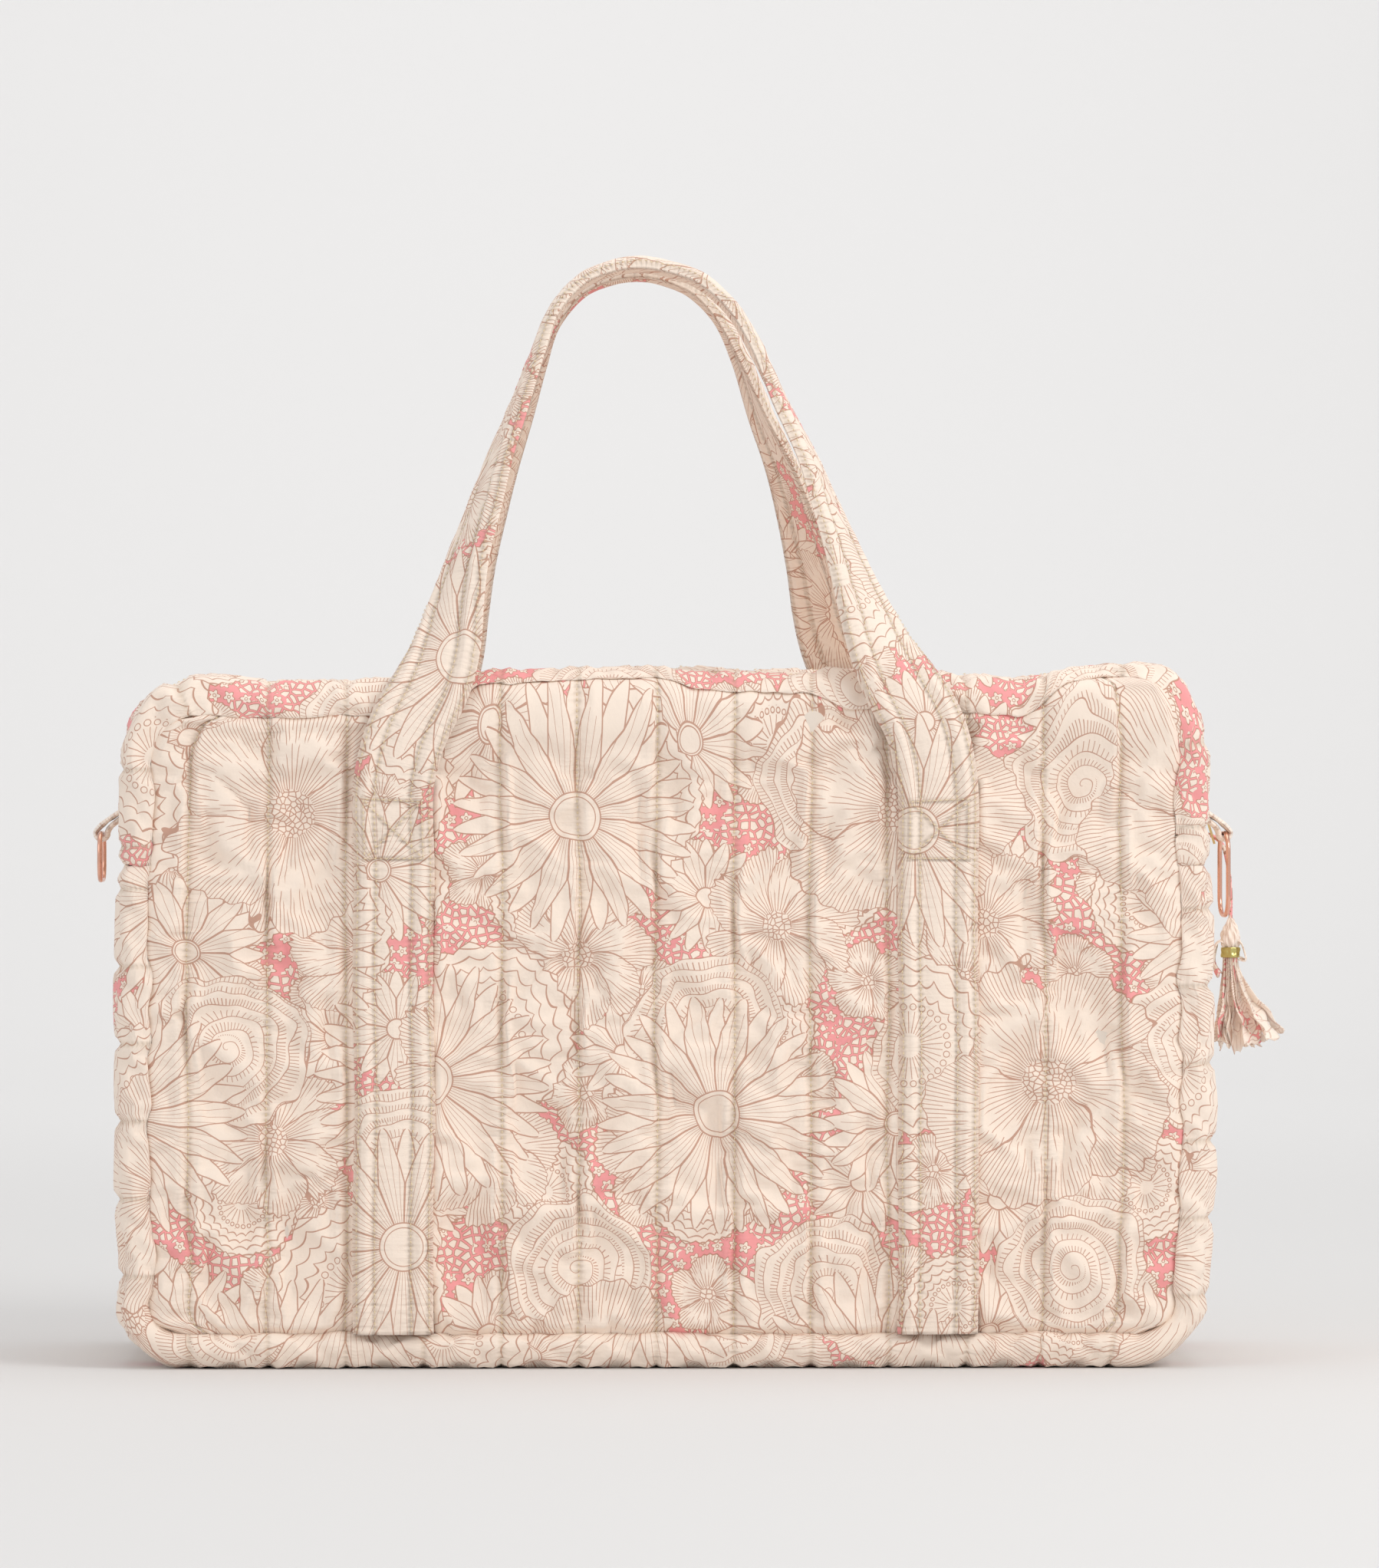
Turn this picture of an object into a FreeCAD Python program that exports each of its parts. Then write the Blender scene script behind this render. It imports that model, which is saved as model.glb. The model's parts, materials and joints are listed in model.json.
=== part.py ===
import FreeCAD, Part
import math
import os

import Sketcher
from FreeCAD import Placement, Rotation, Vector

# A quilted fabric tote for knitting, as an assembly of its sewn panels, zip, straps, rings and tassel.
# Millimetres. X runs along the bag, +Y is the rear, +Z is up; the origin is the centre of the base.

DIMENSIONS = [
    ("bag_width", 544, "length of the padded body along X"),
    ("bag_depth", 212, "front to rear face along Y"),
    ("bag_height", 350, "padded body, base to top"),
    ("wall_thick", 8, "quilted wall: print, wadding and backing"),
    ("top_corner", 44, "outline radius at the two upper corners"),
    ("base_corner", 30, "outline radius at the two lower corners"),
    ("edge_roll", 20, "padded roll along the outline of both faces"),
    ("seam_inset", 18, "panel seam, in from the outline"),
    ("band_top", 250, "seam where the zip gusset meets the lower band"),
    ("zip_foot", 278, "lower end of the zip on both ends"),
    ("zip_slot", 14, "gap between the two fabric edges beside the zip"),
    ("flap_length", 430, "moving part of the mouth along X"),
    ("flap_hinge", 85, "hinge line of each flap, out from the middle"),
    ("flap_round", 2, "rounding of the flap edges"),
    ("move_gap", 0.5, "gap beside every moving fabric edge"),
    ("cut_past", 20, "cutter past what it cuts"),
    ("lining_gap", 0.3, "wall to lining"),
    ("lining_thick", 1.2, "plain cotton lining"),
    ("binding_width", 6, "bound inner seam allowance along Y"),
    ("binding_thick", 2.4, "bound inner seam allowance"),
    ("pocket_width", 190, "inner pocket on the rear lining"),
    ("pocket_height", 140, "inner pocket, foot to open top"),
    ("pocket_foot", 90, "foot of the inner pocket above the base"),
    ("pocket_thick", 3, "flat pocket, front to back"),
    ("pocket_sheet", 0.8, "single cloth layer of the pocket"),
    ("strap_width", 40, "quilted strap"),
    ("strap_thick", 4, "quilted strap"),
    ("strap_centre", 135, "strap centre, out from the middle"),
    ("strap_foot", 19, "lower end of the sewn leg"),
    ("strap_top", 286, "upper end of the sewn leg"),
    ("strap_round", 1.4, "rounding of the strap edges"),
    ("hinge_level", 289.5, "height where the handle leaves the face"),
    ("hinge_depth", 112.5, "handle hinge, out from the middle"),
    ("box_size", 34, "side of the crossed square of stitches"),
    ("box_level", 268, "centre of the crossed square"),
    ("thread_width", 0.9, "stitching thread"),
    ("thread_rise", 0.5, "stitching thread above the cloth"),
    ("tooth_pitch", 3, "zip teeth on one side"),
    ("tooth_width", 1.1, "one tooth along the zip"),
    ("tooth_reach", 0.9, "tooth past the zip's centre line"),
    ("chain_half", 2.6, "centre line to the outer edge of the teeth"),
    ("chain_depth", 2.2, "teeth below the fabric surface"),
    ("chain_thick", 2.6, "teeth, outside to inside"),
    ("tape_depth", 3.1, "zip tape below the fabric surface"),
    ("tape_thick", 0.8, "zip tape"),
    ("slider_length", 13, "zip slider along the zip"),
    ("slider_half", 5.5, "half the slider's width"),
    ("slider_foot", 281, "lower end of the slider at rest"),
    ("slider_inner", 265.2, "inner face of the slider, from the middle"),
    ("slider_outer", 271.8, "outer face of the slider, from the middle"),
    ("pull_pivot_x", 273, "axis of the pull, from the middle"),
    ("pull_pivot_z", 287.5, "axis of the pull, above the base"),
    ("pull_length", 30, "pull from its axis to the tip"),
    ("pull_half", 4.2, "half the pull's width at the top"),
    ("pull_tip_half", 3.4, "half the pull's width at the tip"),
    ("pull_thick", 1.2, "pull plate"),
    ("pull_tilt", 20.2, "sideways lean of the pull, degrees"),
    ("pull_lean", 17, "outward lean of the pull, degrees"),
    ("cord_diameter", 2, "rolled fabric cord"),
    ("tassel_x", 290, "tassel axis along X"),
    ("tassel_y", 8.6, "tassel axis along Y"),
    ("tassel_top", 220.8, "top of the tassel head"),
    ("head_radius", 5, "tassel head"),
    ("band_level", 207, "top of the metallic band"),
    ("band_height", 5, "metallic band"),
    ("band_radius", 4.9, "metallic band"),
    ("skirt_foot", 157, "lower end of the tassel skirt"),
    ("skirt_radius", 12.6, "tassel skirt at its foot"),
    ("skirt_lean", 9, "skirt foot, outward of its top"),
    ("tab_width", 12.5, "ring tab along Y"),
    ("tab_centre", 12, "ring tab, in front of the zip"),
    ("tab_fold", 2.6, "outer radius of the tab's fold"),
    ("tab_top", 279, "upper end of the ring tab"),
    ("tab_root", 9, "ring tab where it leaves the body, top to bottom"),
    ("ring_out", 13, "ring's hinge, out from the body's end"),
    ("ring_level", 265.5, "height of the ring's hinge"),
    ("ring_long", 44, "oval ring, outside length"),
    ("ring_short", 26, "oval ring, outside width"),
    ("ring_wire", 2.4, "diameter of the ring's wire"),
    ("ring_corner", 5.2, "bend of the ring's wire, at its centre"),
    ("ring_play", 0.3, "ring wire to the tab's fold"),
]

# Centre line of the left half of the front handle: x, y, z and the strap's turn in degrees.
HANDLE_STATIONS = [
    (-135.0, -112.5, 289.5, 0),
    (-134.0, -112.5, 306.0, 0),
    (-130.5, -112.0, 323.0, 2),
    (-124.0, -110.0, 340.0, 8),
    (-115.5, -104.5, 357.0, 25),
    (-106.5, -95.0, 377.0, 47),
    (-98.0, -83.5, 401.0, 68),
    (-90.0, -72.0, 427.0, 82),
    (-81.5, -60.5, 454.0, 88),
    (-71.0, -49.0, 481.0, 90),
    (-57.0, -38.5, 506.0, 90),
    (-39.0, -29.5, 527.0, 90),
    (-20.0, -23.5, 540.0, 90),
    (0.0, -21.0, 545.0, 90),
]

# Route of the cord from the hole in the pull to the tassel head: x and z at y = tassel_y.
CORD_ROUTE = [(277.9, 264.9), (285.5, 262.9), (288.9, 249.5), (290.2, 235.2), (290.0, 221.9)]
CORD_BEND_SHARE = 0.45

SKIRT_PLEATS = 11
SKIRT_PLEAT_DEPTH = 0.74

doc = FreeCAD.newDocument("quilted_bag")
sheet = doc.addObject("Spreadsheet::Sheet", "dims")
for row, (alias, number, note) in enumerate(DIMENSIONS, start=1):
    sheet.set("A%d" % row, note)
    sheet.set("B%d" % row, str(number))
    sheet.setAlias("B%d" % row, alias)
doc.recompute()

size = {alias: number for alias, number, note in DIMENSIONS}
HALF_WIDTH = size["bag_width"] / 2
HALF_DEPTH = size["bag_depth"] / 2
HEIGHT = size["bag_height"]
nodes = []


def node(obj, name):
    """Label an object as a sub-part to be exported."""
    obj.Label = name
    nodes.append(obj)
    return obj


def block(name, sizes, low):
    """A box whose sizes and low corner are expressions."""
    box = doc.addObject("Part::Box", name)
    for prop, expression in zip(("Length", "Width", "Height"), sizes):
        box.setExpression(prop, str(expression))
    for axis, expression in zip("xyz", low):
        box.setExpression("Placement.Base." + axis, str(expression))
    return box


def boolean(kind, name, base, tool):
    result = doc.addObject("Part::" + kind, name)
    result.Base = base
    result.Tool = tool
    return result


def fuse(name, shapes):
    result = doc.addObject("Part::MultiFuse", name)
    result.Shapes = shapes
    return result


def fillet(name, base, radius_of_edge):
    """Round the edges for which radius_of_edge gives a radius."""
    doc.recompute()
    result = doc.addObject("Part::Fillet", name)
    result.Base = base
    chosen = []
    for index, edge in enumerate(base.Shape.Edges, start=1):
        radius = radius_of_edge(edge)
        if radius:
            chosen.append((index, radius, radius))
    result.Edges = chosen
    doc.recompute()
    return result


def rounded_prism(name, inset, low_y, depth, top_inset=None):
    """A block with the bag's rounded outline, set in from it, along Y."""
    top_inset = inset if top_inset is None else top_inset
    box = block(
        name + "_block",
        (
            "dims.bag_width - 2 * (%s)" % inset,
            depth,
            "dims.bag_height - (%s) - (%s)" % (inset, top_inset),
        ),
        ("-dims.bag_width / 2 + (%s)" % inset, low_y, inset),
    )
    doc.recompute()
    gap = box.Placement.Base.z

    def corner(edge):
        first, last = edge.Vertexes[0].Point, edge.Vertexes[-1].Point
        if abs(first.y - last.y) < 1:
            return 0
        radius = size["top_corner"] if first.z > HEIGHT / 2 else size["base_corner"]
        return max(radius - gap, 3)

    return fillet(name + "_outline", box, corner)


def rolled_form(name, inset):
    """The bag's outer form, or an offset of it, with its rolled edges."""
    depth = "dims.bag_depth - 2 * (%s)" % inset
    prism = rounded_prism(name, inset, "-dims.bag_depth / 2 + (%s)" % inset, depth)
    box = prism.Shape.BoundBox
    gap = box.YMin + HALF_DEPTH

    def rim(edge):
        middle = edge.BoundBox
        flat = middle.YLength < 0.01
        at_face = abs(middle.YMin - box.YMin) < 0.01 or abs(middle.YMax - box.YMax) < 0.01
        return size["edge_roll"] - gap if flat and at_face else 0

    return fillet(name + "_roll", prism, rim)


def new_body(name):
    return doc.addObject("PartDesign::Body", name)


def plane_sketch(body, name, role):
    """A sketch on one of the body's own origin planes."""
    sketch = body.newObject("Sketcher::SketchObject", name)
    plane = [item for item in body.Origin.OriginFeatures if item.Role == role][0]
    sketch.AttachmentSupport = [(plane, "")]
    sketch.MapMode = "FlatFace"
    return sketch


def rectangle(sketch, width, height):
    """A rectangle centred on the sketch's origin, with both sizes bound to expressions."""
    start = [(-5, -5), (5, -5), (5, 5), (-5, 5)]
    for index in range(4):
        first = Vector(*start[index], 0)
        last = Vector(*start[(index + 1) % 4], 0)
        sketch.addGeometry(Part.LineSegment(first, last), False)
    for index in range(4):
        sketch.addConstraint(Sketcher.Constraint("Coincident", index, 2, (index + 1) % 4, 1))
    for index in (0, 2):
        sketch.addConstraint(Sketcher.Constraint("Horizontal", index))
    for index in (1, 3):
        sketch.addConstraint(Sketcher.Constraint("Vertical", index))
    sketch.addConstraint(Sketcher.Constraint("Symmetric", 0, 1, 2, 1, -1, 1))
    across = sketch.addConstraint(Sketcher.Constraint("DistanceX", 0, 1, 0, 2, 10))
    upright = sketch.addConstraint(Sketcher.Constraint("DistanceY", 1, 1, 1, 2, 10))
    sketch.setExpression("Constraints[%d]" % across, width)
    sketch.setExpression("Constraints[%d]" % upright, height)


def pad(body, sketch, name, length, midplane=False):
    feature = body.newObject("PartDesign::Pad", name)
    feature.Profile = sketch
    feature.setExpression("Length", length)
    feature.Midplane = midplane
    doc.recompute()
    return feature


def round_edges(body, base, name, radius, choose):
    """Round the chosen edges of a body's last feature."""
    feature = body.newObject("PartDesign::Fillet", name)
    picked = ["Edge%d" % i for i, edge in enumerate(base.Shape.Edges, start=1) if choose(edge)]
    feature.Base = (base, picked)
    feature.setExpression("Radius", radius)
    doc.recompute()
    return feature


def circle(sketch, x, y, diameter):
    """A circle with a bound diameter and a fixed centre."""
    index = sketch.addGeometry(Part.Circle(Vector(x, y, 0), Vector(0, 0, 1), 1), False)
    bound = sketch.addConstraint(Sketcher.Constraint("Diameter", index, 2))
    sketch.setExpression("Constraints[%d]" % bound, diameter)
    sketch.addConstraint(Sketcher.Constraint("DistanceX", -1, 1, index, 3, x))
    sketch.addConstraint(Sketcher.Constraint("DistanceY", -1, 1, index, 3, y))


def polygon(sketch, points):
    """A closed outline of straight edges, held where it is drawn."""
    first = sketch.GeometryCount
    count = len(points)
    for index in range(count):
        one = Vector(*points[index], 0)
        two = Vector(*points[(index + 1) % count], 0)
        sketch.addGeometry(Part.LineSegment(one, two), False)
    for index in range(count):
        following = first + (index + 1) % count
        sketch.addConstraint(Sketcher.Constraint("Coincident", first + index, 2, following, 1))
    for index in range(count):
        sketch.addConstraint(Sketcher.Constraint("Block", first + index))


def feature_node(name, shape, place=None):
    """A sub-part whose form no sketch feature gives; its Placement follows its Shape."""
    item = doc.addObject("Part::Feature", name)
    item.Shape = shape
    item.Placement = place or Placement()
    return node(item, name)


# ---- padded shell, cut into its sewn panels -------------------------------------------------

outer = rolled_form("outer_form", "0")
inner = rolled_form("inner_form", "dims.wall_thick")
shell = boolean("Cut", "padded_shell", outer, inner)

SIDES = (("front", -1), ("rear", 1))
ENDS = (("left", -1), ("right", 1))

prisms = {}
for side, sign in SIDES:
    low = "-dims.bag_depth / 2 - 5" if sign < 0 else "dims.bag_depth / 2 - dims.edge_roll"
    prisms[side] = rounded_prism(
        side + "_prism", "dims.seam_inset", low, "dims.edge_roll + 5", "dims.edge_roll"
    )
    node(boolean("Common", side + "_panel", shell, prisms[side]), side + "_panel")

both_prisms = fuse("both_prisms", [prisms["front"], prisms["rear"]])
gusset_shell = boolean("Cut", "gusset_shell", shell, both_prisms)

# a cutter's length and low end that take in the whole bag, past it by cut_past at both ends
whole_x = ("dims.bag_width + 2 * dims.cut_past", "-dims.bag_width / 2 - dims.cut_past")
whole_y = ("dims.bag_depth + 2 * dims.cut_past", "-dims.bag_depth / 2 - dims.cut_past")
band_region = fuse(
    "band_region",
    [
        block(
            "band_lower",
            (whole_x[0], whole_y[0], "dims.band_top + dims.cut_past"),
            (whole_x[1], whole_y[1], "-dims.cut_past"),
        ),
        block(
            "band_tongue",
            (whole_x[0], "dims.zip_slot", "dims.zip_foot"),
            (whole_x[1], "-dims.zip_slot / 2", "0"),
        ),
    ],
)
node(boolean("Common", "gusset_band", gusset_shell, band_region), "gusset_band")

mouth_box = block(
    "mouth_box",
    (
        "dims.flap_length + 2 * dims.move_gap",
        "2 * (dims.flap_hinge + dims.move_gap)",
        "2 * dims.cut_past",
    ),
    (
        "-dims.flap_length / 2 - dims.move_gap",
        "-dims.flap_hinge - dims.move_gap",
        "dims.bag_height - dims.cut_past",
    ),
)
shoulders = boolean("Cut", "shoulders", gusset_shell, mouth_box)
for side, sign in SIDES:
    low = whole_y[1] if sign < 0 else "dims.zip_slot / 2"
    region = block(
        side + "_shoulder_region",
        (whole_x[0], "dims.bag_depth / 2 + dims.cut_past - dims.zip_slot / 2", "dims.bag_height"),
        (whole_x[1], low, "dims.band_top"),
    )
    name = side + "_zip_gusset"
    node(boolean("Common", name, shoulders, region), name)

# ---- lining, bound seams and pocket ---------------------------------------------------------

lining_outer = rolled_form("lining_outer", "dims.wall_thick + dims.lining_gap")
lining_inner = rolled_form("lining_inner", "dims.wall_thick + dims.lining_gap + dims.lining_thick")
lining_shell = boolean("Cut", "lining_shell", lining_outer, lining_inner)
lining_mouth = block(
    "lining_mouth",
    ("dims.flap_length + 6", "2 * dims.flap_hinge + 6", "60"),
    ("-dims.flap_length / 2 - 3", "-dims.flap_hinge - 3", "dims.bag_height - 40"),
)
lining_slot = block(
    "lining_slot",
    (whole_x[0], "dims.zip_slot + 2", "dims.bag_height"),
    (whole_x[1], "-dims.zip_slot / 2 - 1", "dims.zip_foot - 4"),
)
lining_faces = []
for side, sign in SIDES:
    low = "-dims.bag_depth / 2" if sign < 0 else "dims.bag_depth / 2 - dims.edge_roll"
    face_prism = rounded_prism(
        side + "_lining_prism", "dims.edge_roll", low, "dims.edge_roll", "dims.edge_roll + 2"
    )
    lining_faces.append(face_prism)
    node(boolean("Common", side + "_lining", lining_shell, face_prism), side + "_lining")
lining_cutters = fuse("lining_cutters", lining_faces + [lining_mouth, lining_slot])
node(boolean("Cut", "gusset_lining", lining_shell, lining_cutters), "gusset_lining")

binding_inset = "dims.wall_thick + dims.lining_gap + dims.lining_thick + 3"
for side, sign in SIDES:
    low = "-dims.bag_depth / 2 + 15" if sign < 0 else "dims.bag_depth / 2 - 15 - dims.binding_width"
    ring_outer = rounded_prism(side + "_binding_outer", binding_inset, low, "dims.binding_width")
    ring_inner = rounded_prism(
        side + "_binding_inner", binding_inset + " + dims.binding_thick", low, "dims.binding_width"
    )
    name = side + "_seam_binding"
    node(boolean("Cut", name, ring_outer, ring_inner), name)

lining_face = "dims.bag_depth / 2 - dims.wall_thick - dims.lining_gap - dims.lining_thick"
pocket_outer = block(
    "pocket_outer",
    ("dims.pocket_width", "dims.pocket_thick", "dims.pocket_height"),
    ("-dims.pocket_width / 2", lining_face + " - dims.pocket_thick", "dims.pocket_foot"),
)
pocket_hollow = block(
    "pocket_hollow",
    (
        "dims.pocket_width - 2 * dims.pocket_sheet",
        "dims.pocket_thick - 2 * dims.pocket_sheet",
        "dims.pocket_height",
    ),
    (
        "-dims.pocket_width / 2 + dims.pocket_sheet",
        lining_face + " - dims.pocket_thick + dims.pocket_sheet",
        "dims.pocket_foot + dims.pocket_sheet",
    ),
)
node(boolean("Cut", "inner_pocket", pocket_outer, pocket_hollow), "inner_pocket")

# ---- mouth flaps with their half of the zip -------------------------------------------------


FLAP_REACH = size["flap_hinge"] - size["zip_slot"] / 2
CHAIN_LOW = HEIGHT - size["chain_depth"] - size["chain_thick"]


def tooth_comb(offset):
    """The outline of one half of the straight zip chain, seen from above, teeth towards +Y."""
    half = size["flap_length"] / 2
    root = -size["tooth_reach"] - 0.3
    points = [(-half, -size["chain_half"]), (-half, root)]
    start = -half + 1.2 + offset
    while start + size["tooth_width"] < half - 0.5:
        end = start + size["tooth_width"]
        points += [
            (start, root),
            (start, size["tooth_reach"]),
            (end, size["tooth_reach"]),
            (end, root),
        ]
        start += size["tooth_pitch"]
    points += [(half, root), (half, -size["chain_half"])]
    return [Vector(x, y, 0) for x, y in points]


for side, sign in SIDES:
    body = new_body(side + "_flap_body")
    sketch = plane_sketch(body, side + "_flap_sketch", "XY_Plane")
    rectangle(sketch, "dims.flap_length", "dims.flap_hinge - dims.zip_slot / 2")
    solid = pad(body, sketch, side + "_flap_pad", "dims.wall_thick")
    round_edges(
        body,
        solid,
        side + "_flap_round",
        "dims.flap_round",
        lambda edge: edge.BoundBox.XLength > 100 and edge.BoundBox.ZMin > 1,
    )
    centre = sign * (size["zip_slot"] / 2 + FLAP_REACH / 2)
    body.Placement = Placement(
        Vector(0, centre, HEIGHT - size["wall_thick"]), Rotation(Vector(0, 0, 1), 0)
    )
    node(body, side + "_flap")

    tape = block(
        side + "_flap_tape",
        ("dims.flap_length", "dims.zip_slot / 2 - dims.chain_half", "dims.tape_thick"),
        (
            "-dims.flap_length / 2",
            "-dims.zip_slot / 2" if sign < 0 else "dims.chain_half",
            "dims.bag_height - dims.tape_depth - dims.tape_thick",
        ),
    )
    node(tape, side + "_flap_tape")

    # the two combs are staggered by half a pitch; the rear one is the front one turned half round
    stagger = 0 if sign < 0 else size["tooth_pitch"] / 2
    outline = tooth_comb(stagger)
    if sign > 0:
        outline = [Vector(point.x, -point.y, 0) for point in outline]
    comb = Part.Face(Part.makePolygon(outline + outline[:1]))
    feature_node(
        side + "_flap_teeth",
        comb.extrude(Vector(0, 0, size["chain_thick"])),
        Placement(Vector(0, 0, CHAIN_LOW), Rotation()),
    )

# ---- fixed zip runs round the two upper corners ---------------------------------------------

RUN_START = size["flap_length"] / 2 + size["move_gap"]
CORNER_X = HALF_WIDTH - size["top_corner"]
CORNER_Z = HEIGHT - size["top_corner"]


def end_band(depth, thick, foot):
    """A strip of the right-hand zip run in the XZ plane, from the top round the corner."""
    wires = []
    for offset in (depth, depth + thick):
        radius = size["top_corner"] - offset
        slope = radius * math.sqrt(0.5)
        start = Vector(RUN_START, 0, HEIGHT - offset)
        bend = Vector(CORNER_X, 0, HEIGHT - offset)
        middle = Vector(CORNER_X + slope, 0, CORNER_Z + slope)
        side_point = Vector(HALF_WIDTH - offset, 0, CORNER_Z)
        end = Vector(HALF_WIDTH - offset, 0, foot)
        wires.append((start, bend, middle, side_point, end))
    edges = []
    for start, bend, middle, side_point, end in wires:
        edges.append(Part.makeLine(start, bend))
        edges.append(Part.Arc(bend, middle, side_point).toShape())
        edges.append(Part.makeLine(side_point, end))
    edges.append(Part.makeLine(wires[0][0], wires[1][0]))
    edges.append(Part.makeLine(wires[0][-1], wires[1][-1]))
    return Part.Face(Part.Wire(Part.__sortEdges__(edges)))


def strip(depth, thick, foot, low_y, high_y):
    face = end_band(depth, thick, foot)
    face.translate(Vector(0, low_y, 0))
    return face.extrude(Vector(0, high_y - low_y, 0))


def run_station(distance):
    """Position and inward direction at a distance along the run's outer line."""
    depth = size["chain_depth"]
    top_run = CORNER_X - RUN_START
    radius = size["top_corner"] - depth
    if distance < top_run:
        return Vector(RUN_START + distance, 0, HEIGHT - depth), 0.0
    angle = (distance - top_run) / radius
    if angle < math.pi / 2:
        x = CORNER_X + radius * math.sin(angle)
        z = CORNER_Z + radius * math.cos(angle)
        return Vector(x, 0, z), math.degrees(angle)
    down = distance - top_run - radius * math.pi / 2
    return Vector(HALF_WIDTH - depth, 0, CORNER_Z - down), 90.0


def end_chain(foot):
    """Closed teeth of the right-hand run: a core strip with a rib for each pair of teeth."""
    rib_rise = 0.4
    half = size["chain_half"]
    core = strip(size["chain_depth"] + rib_rise, size["chain_thick"] - rib_rise, foot, -half, half)
    ribs = []
    distance = 1.5
    while True:
        point, turn = run_station(distance)
        if point.z < foot + 1.5:
            break
        width = size["tooth_width"]
        rib = Part.makeBox(width, 2 * half, rib_rise + 0.4, Vector(-width / 2, -half, -rib_rise - 0.4))
        rib.Placement = Placement(point, Rotation(Vector(0, 1, 0), turn))
        ribs.append(rib)
        distance += size["tooth_pitch"]
    return core.fuse(ribs).removeSplitter()


MIRROR = Vector(1, 0, 0)
SLIDER_TOP = size["slider_foot"] + size["slider_length"]
BRIDGE_HEIGHT = 4.0
chain_foot = {"left": size["zip_foot"] + 2, "right": size["slider_foot"] + BRIDGE_HEIGHT + 0.5}
stop_size = (2.4, 7.0, 2.4)
for end, sign in ENDS:
    chain = end_chain(chain_foot[end])
    slot_half = size["zip_slot"] / 2
    tapes = Part.makeCompound(
        [
            strip(size["tape_depth"], size["tape_thick"], size["zip_foot"], low, high)
            for low, high in ((-slot_half, -size["chain_half"]), (size["chain_half"], slot_half))
        ]
    )
    if sign < 0:
        chain = chain.mirror(Vector(), MIRROR)
        tapes = tapes.mirror(Vector(), MIRROR)
    feature_node(end + "_zip_run", chain)
    feature_node(end + "_zip_tape", tapes)
    stop = block(
        end + "_zip_stop",
        (str(stop_size[0]), "2 * dims.chain_half - 0.2", "1.6"),
        (
            "dims.bag_width / 2 - dims.chain_depth - %s" % stop_size[0]
            if sign > 0
            else "-dims.bag_width / 2 + dims.chain_depth",
            "-dims.chain_half + 0.1",
            "dims.zip_foot",
        ),
    )
    node(stop, end + "_zip_stop")

# ---- straps sewn to the faces, and the handles ----------------------------------------------

for side, sign in SIDES:
    for end, way in ENDS:
        body = new_body("%s_%s_strap_body" % (side, end))
        sketch = plane_sketch(body, "%s_%s_strap_sketch" % (side, end), "XZ_Plane")
        rectangle(sketch, "dims.strap_width", "dims.strap_top - dims.strap_foot")
        solid = pad(body, sketch, "%s_%s_strap_pad" % (side, end), "dims.strap_thick")
        far = solid.Shape.BoundBox.YMin if abs(solid.Shape.BoundBox.YMin) > 1 else solid.Shape.BoundBox.YMax
        round_edges(
            body,
            solid,
            "%s_%s_strap_round" % (side, end),
            "dims.strap_round",
            lambda edge, far=far: edge.BoundBox.ZLength > 100 and abs(edge.BoundBox.YMin - far) < 0.1,
        )
        outward_front = far < 0
        flip = (sign < 0) != outward_front
        body.Placement = Placement(
            Vector(
                way * size["strap_centre"],
                sign * HALF_DEPTH,
                (size["strap_top"] + size["strap_foot"]) / 2,
            ),
            Rotation(Vector(0, 0, 1), 180 if flip else 0),
        )
        node(body, "%s_%s_strap" % (side, end))


def section(centre, along, across, width, thick):
    """A rectangular wire of the strap's width and thickness at one station."""
    across = (across - along * across.dot(along)).normalize()
    outward = along.cross(across).normalize()
    corners = []
    for a, b in ((-1, -1), (1, -1), (1, 1), (-1, 1)):
        corners.append(centre + across * (a * width / 2) + outward * (b * thick / 2))
    return Part.makePolygon(corners + corners[:1])


def handle_shape():
    """The front handle: a flat strap that turns a quarter round on its way to the top."""
    left = [(Vector(x, y, z), turn, 1) for x, y, z, turn in HANDLE_STATIONS]
    right = [(Vector(-x, y, z), turn, -1) for x, y, z, turn in reversed(HANDLE_STATIONS[:-1])]
    stations = left + right
    wires = []
    for index, (centre, turn, way) in enumerate(stations):
        before = stations[max(index - 1, 0)][0]
        after = stations[min(index + 1, len(stations) - 1)][0]
        along = (after - before).normalize()
        if index in (0, len(stations) - 1):
            along = Vector(0, 0, 1 if index == 0 else -1)
        angle = math.radians(turn)
        across = Vector(way * math.cos(angle), -math.sin(angle), 0)
        wires.append(section(centre, along, across, size["strap_width"], size["strap_thick"]))
    return Part.makeLoft(wires, True, False)


handle = handle_shape()
if handle.Volume < 0:
    handle.reverse()
for side, sign in SIDES:
    shape = handle if sign < 0 else handle.mirror(Vector(), Vector(0, 1, 0))
    feature_node(side + "_handle", shape)


def box_stitch():
    """A crossed square of thread in the XZ plane, centred on the origin, rising along -Y."""
    half = size["box_size"] / 2
    wide = size["thread_width"]
    rise = size["thread_rise"]
    bars = []
    for offset in (-half, half - wide):
        bars.append(Part.makeBox(2 * half, rise, wide, Vector(-half, -rise, offset)))
        bars.append(Part.makeBox(wide, rise, 2 * half, Vector(offset, -rise, -half)))
    diagonal = (half - wide) * math.sqrt(2)
    for turn in (45, -45):
        bar = Part.makeBox(2 * diagonal, rise, wide, Vector(-diagonal, -rise, -wide / 2))
        bar.Placement = Placement(Vector(), Rotation(Vector(0, 1, 0), turn))
        bars.append(bar)
    return bars[0].fuse(bars[1:]).removeSplitter()


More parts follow.
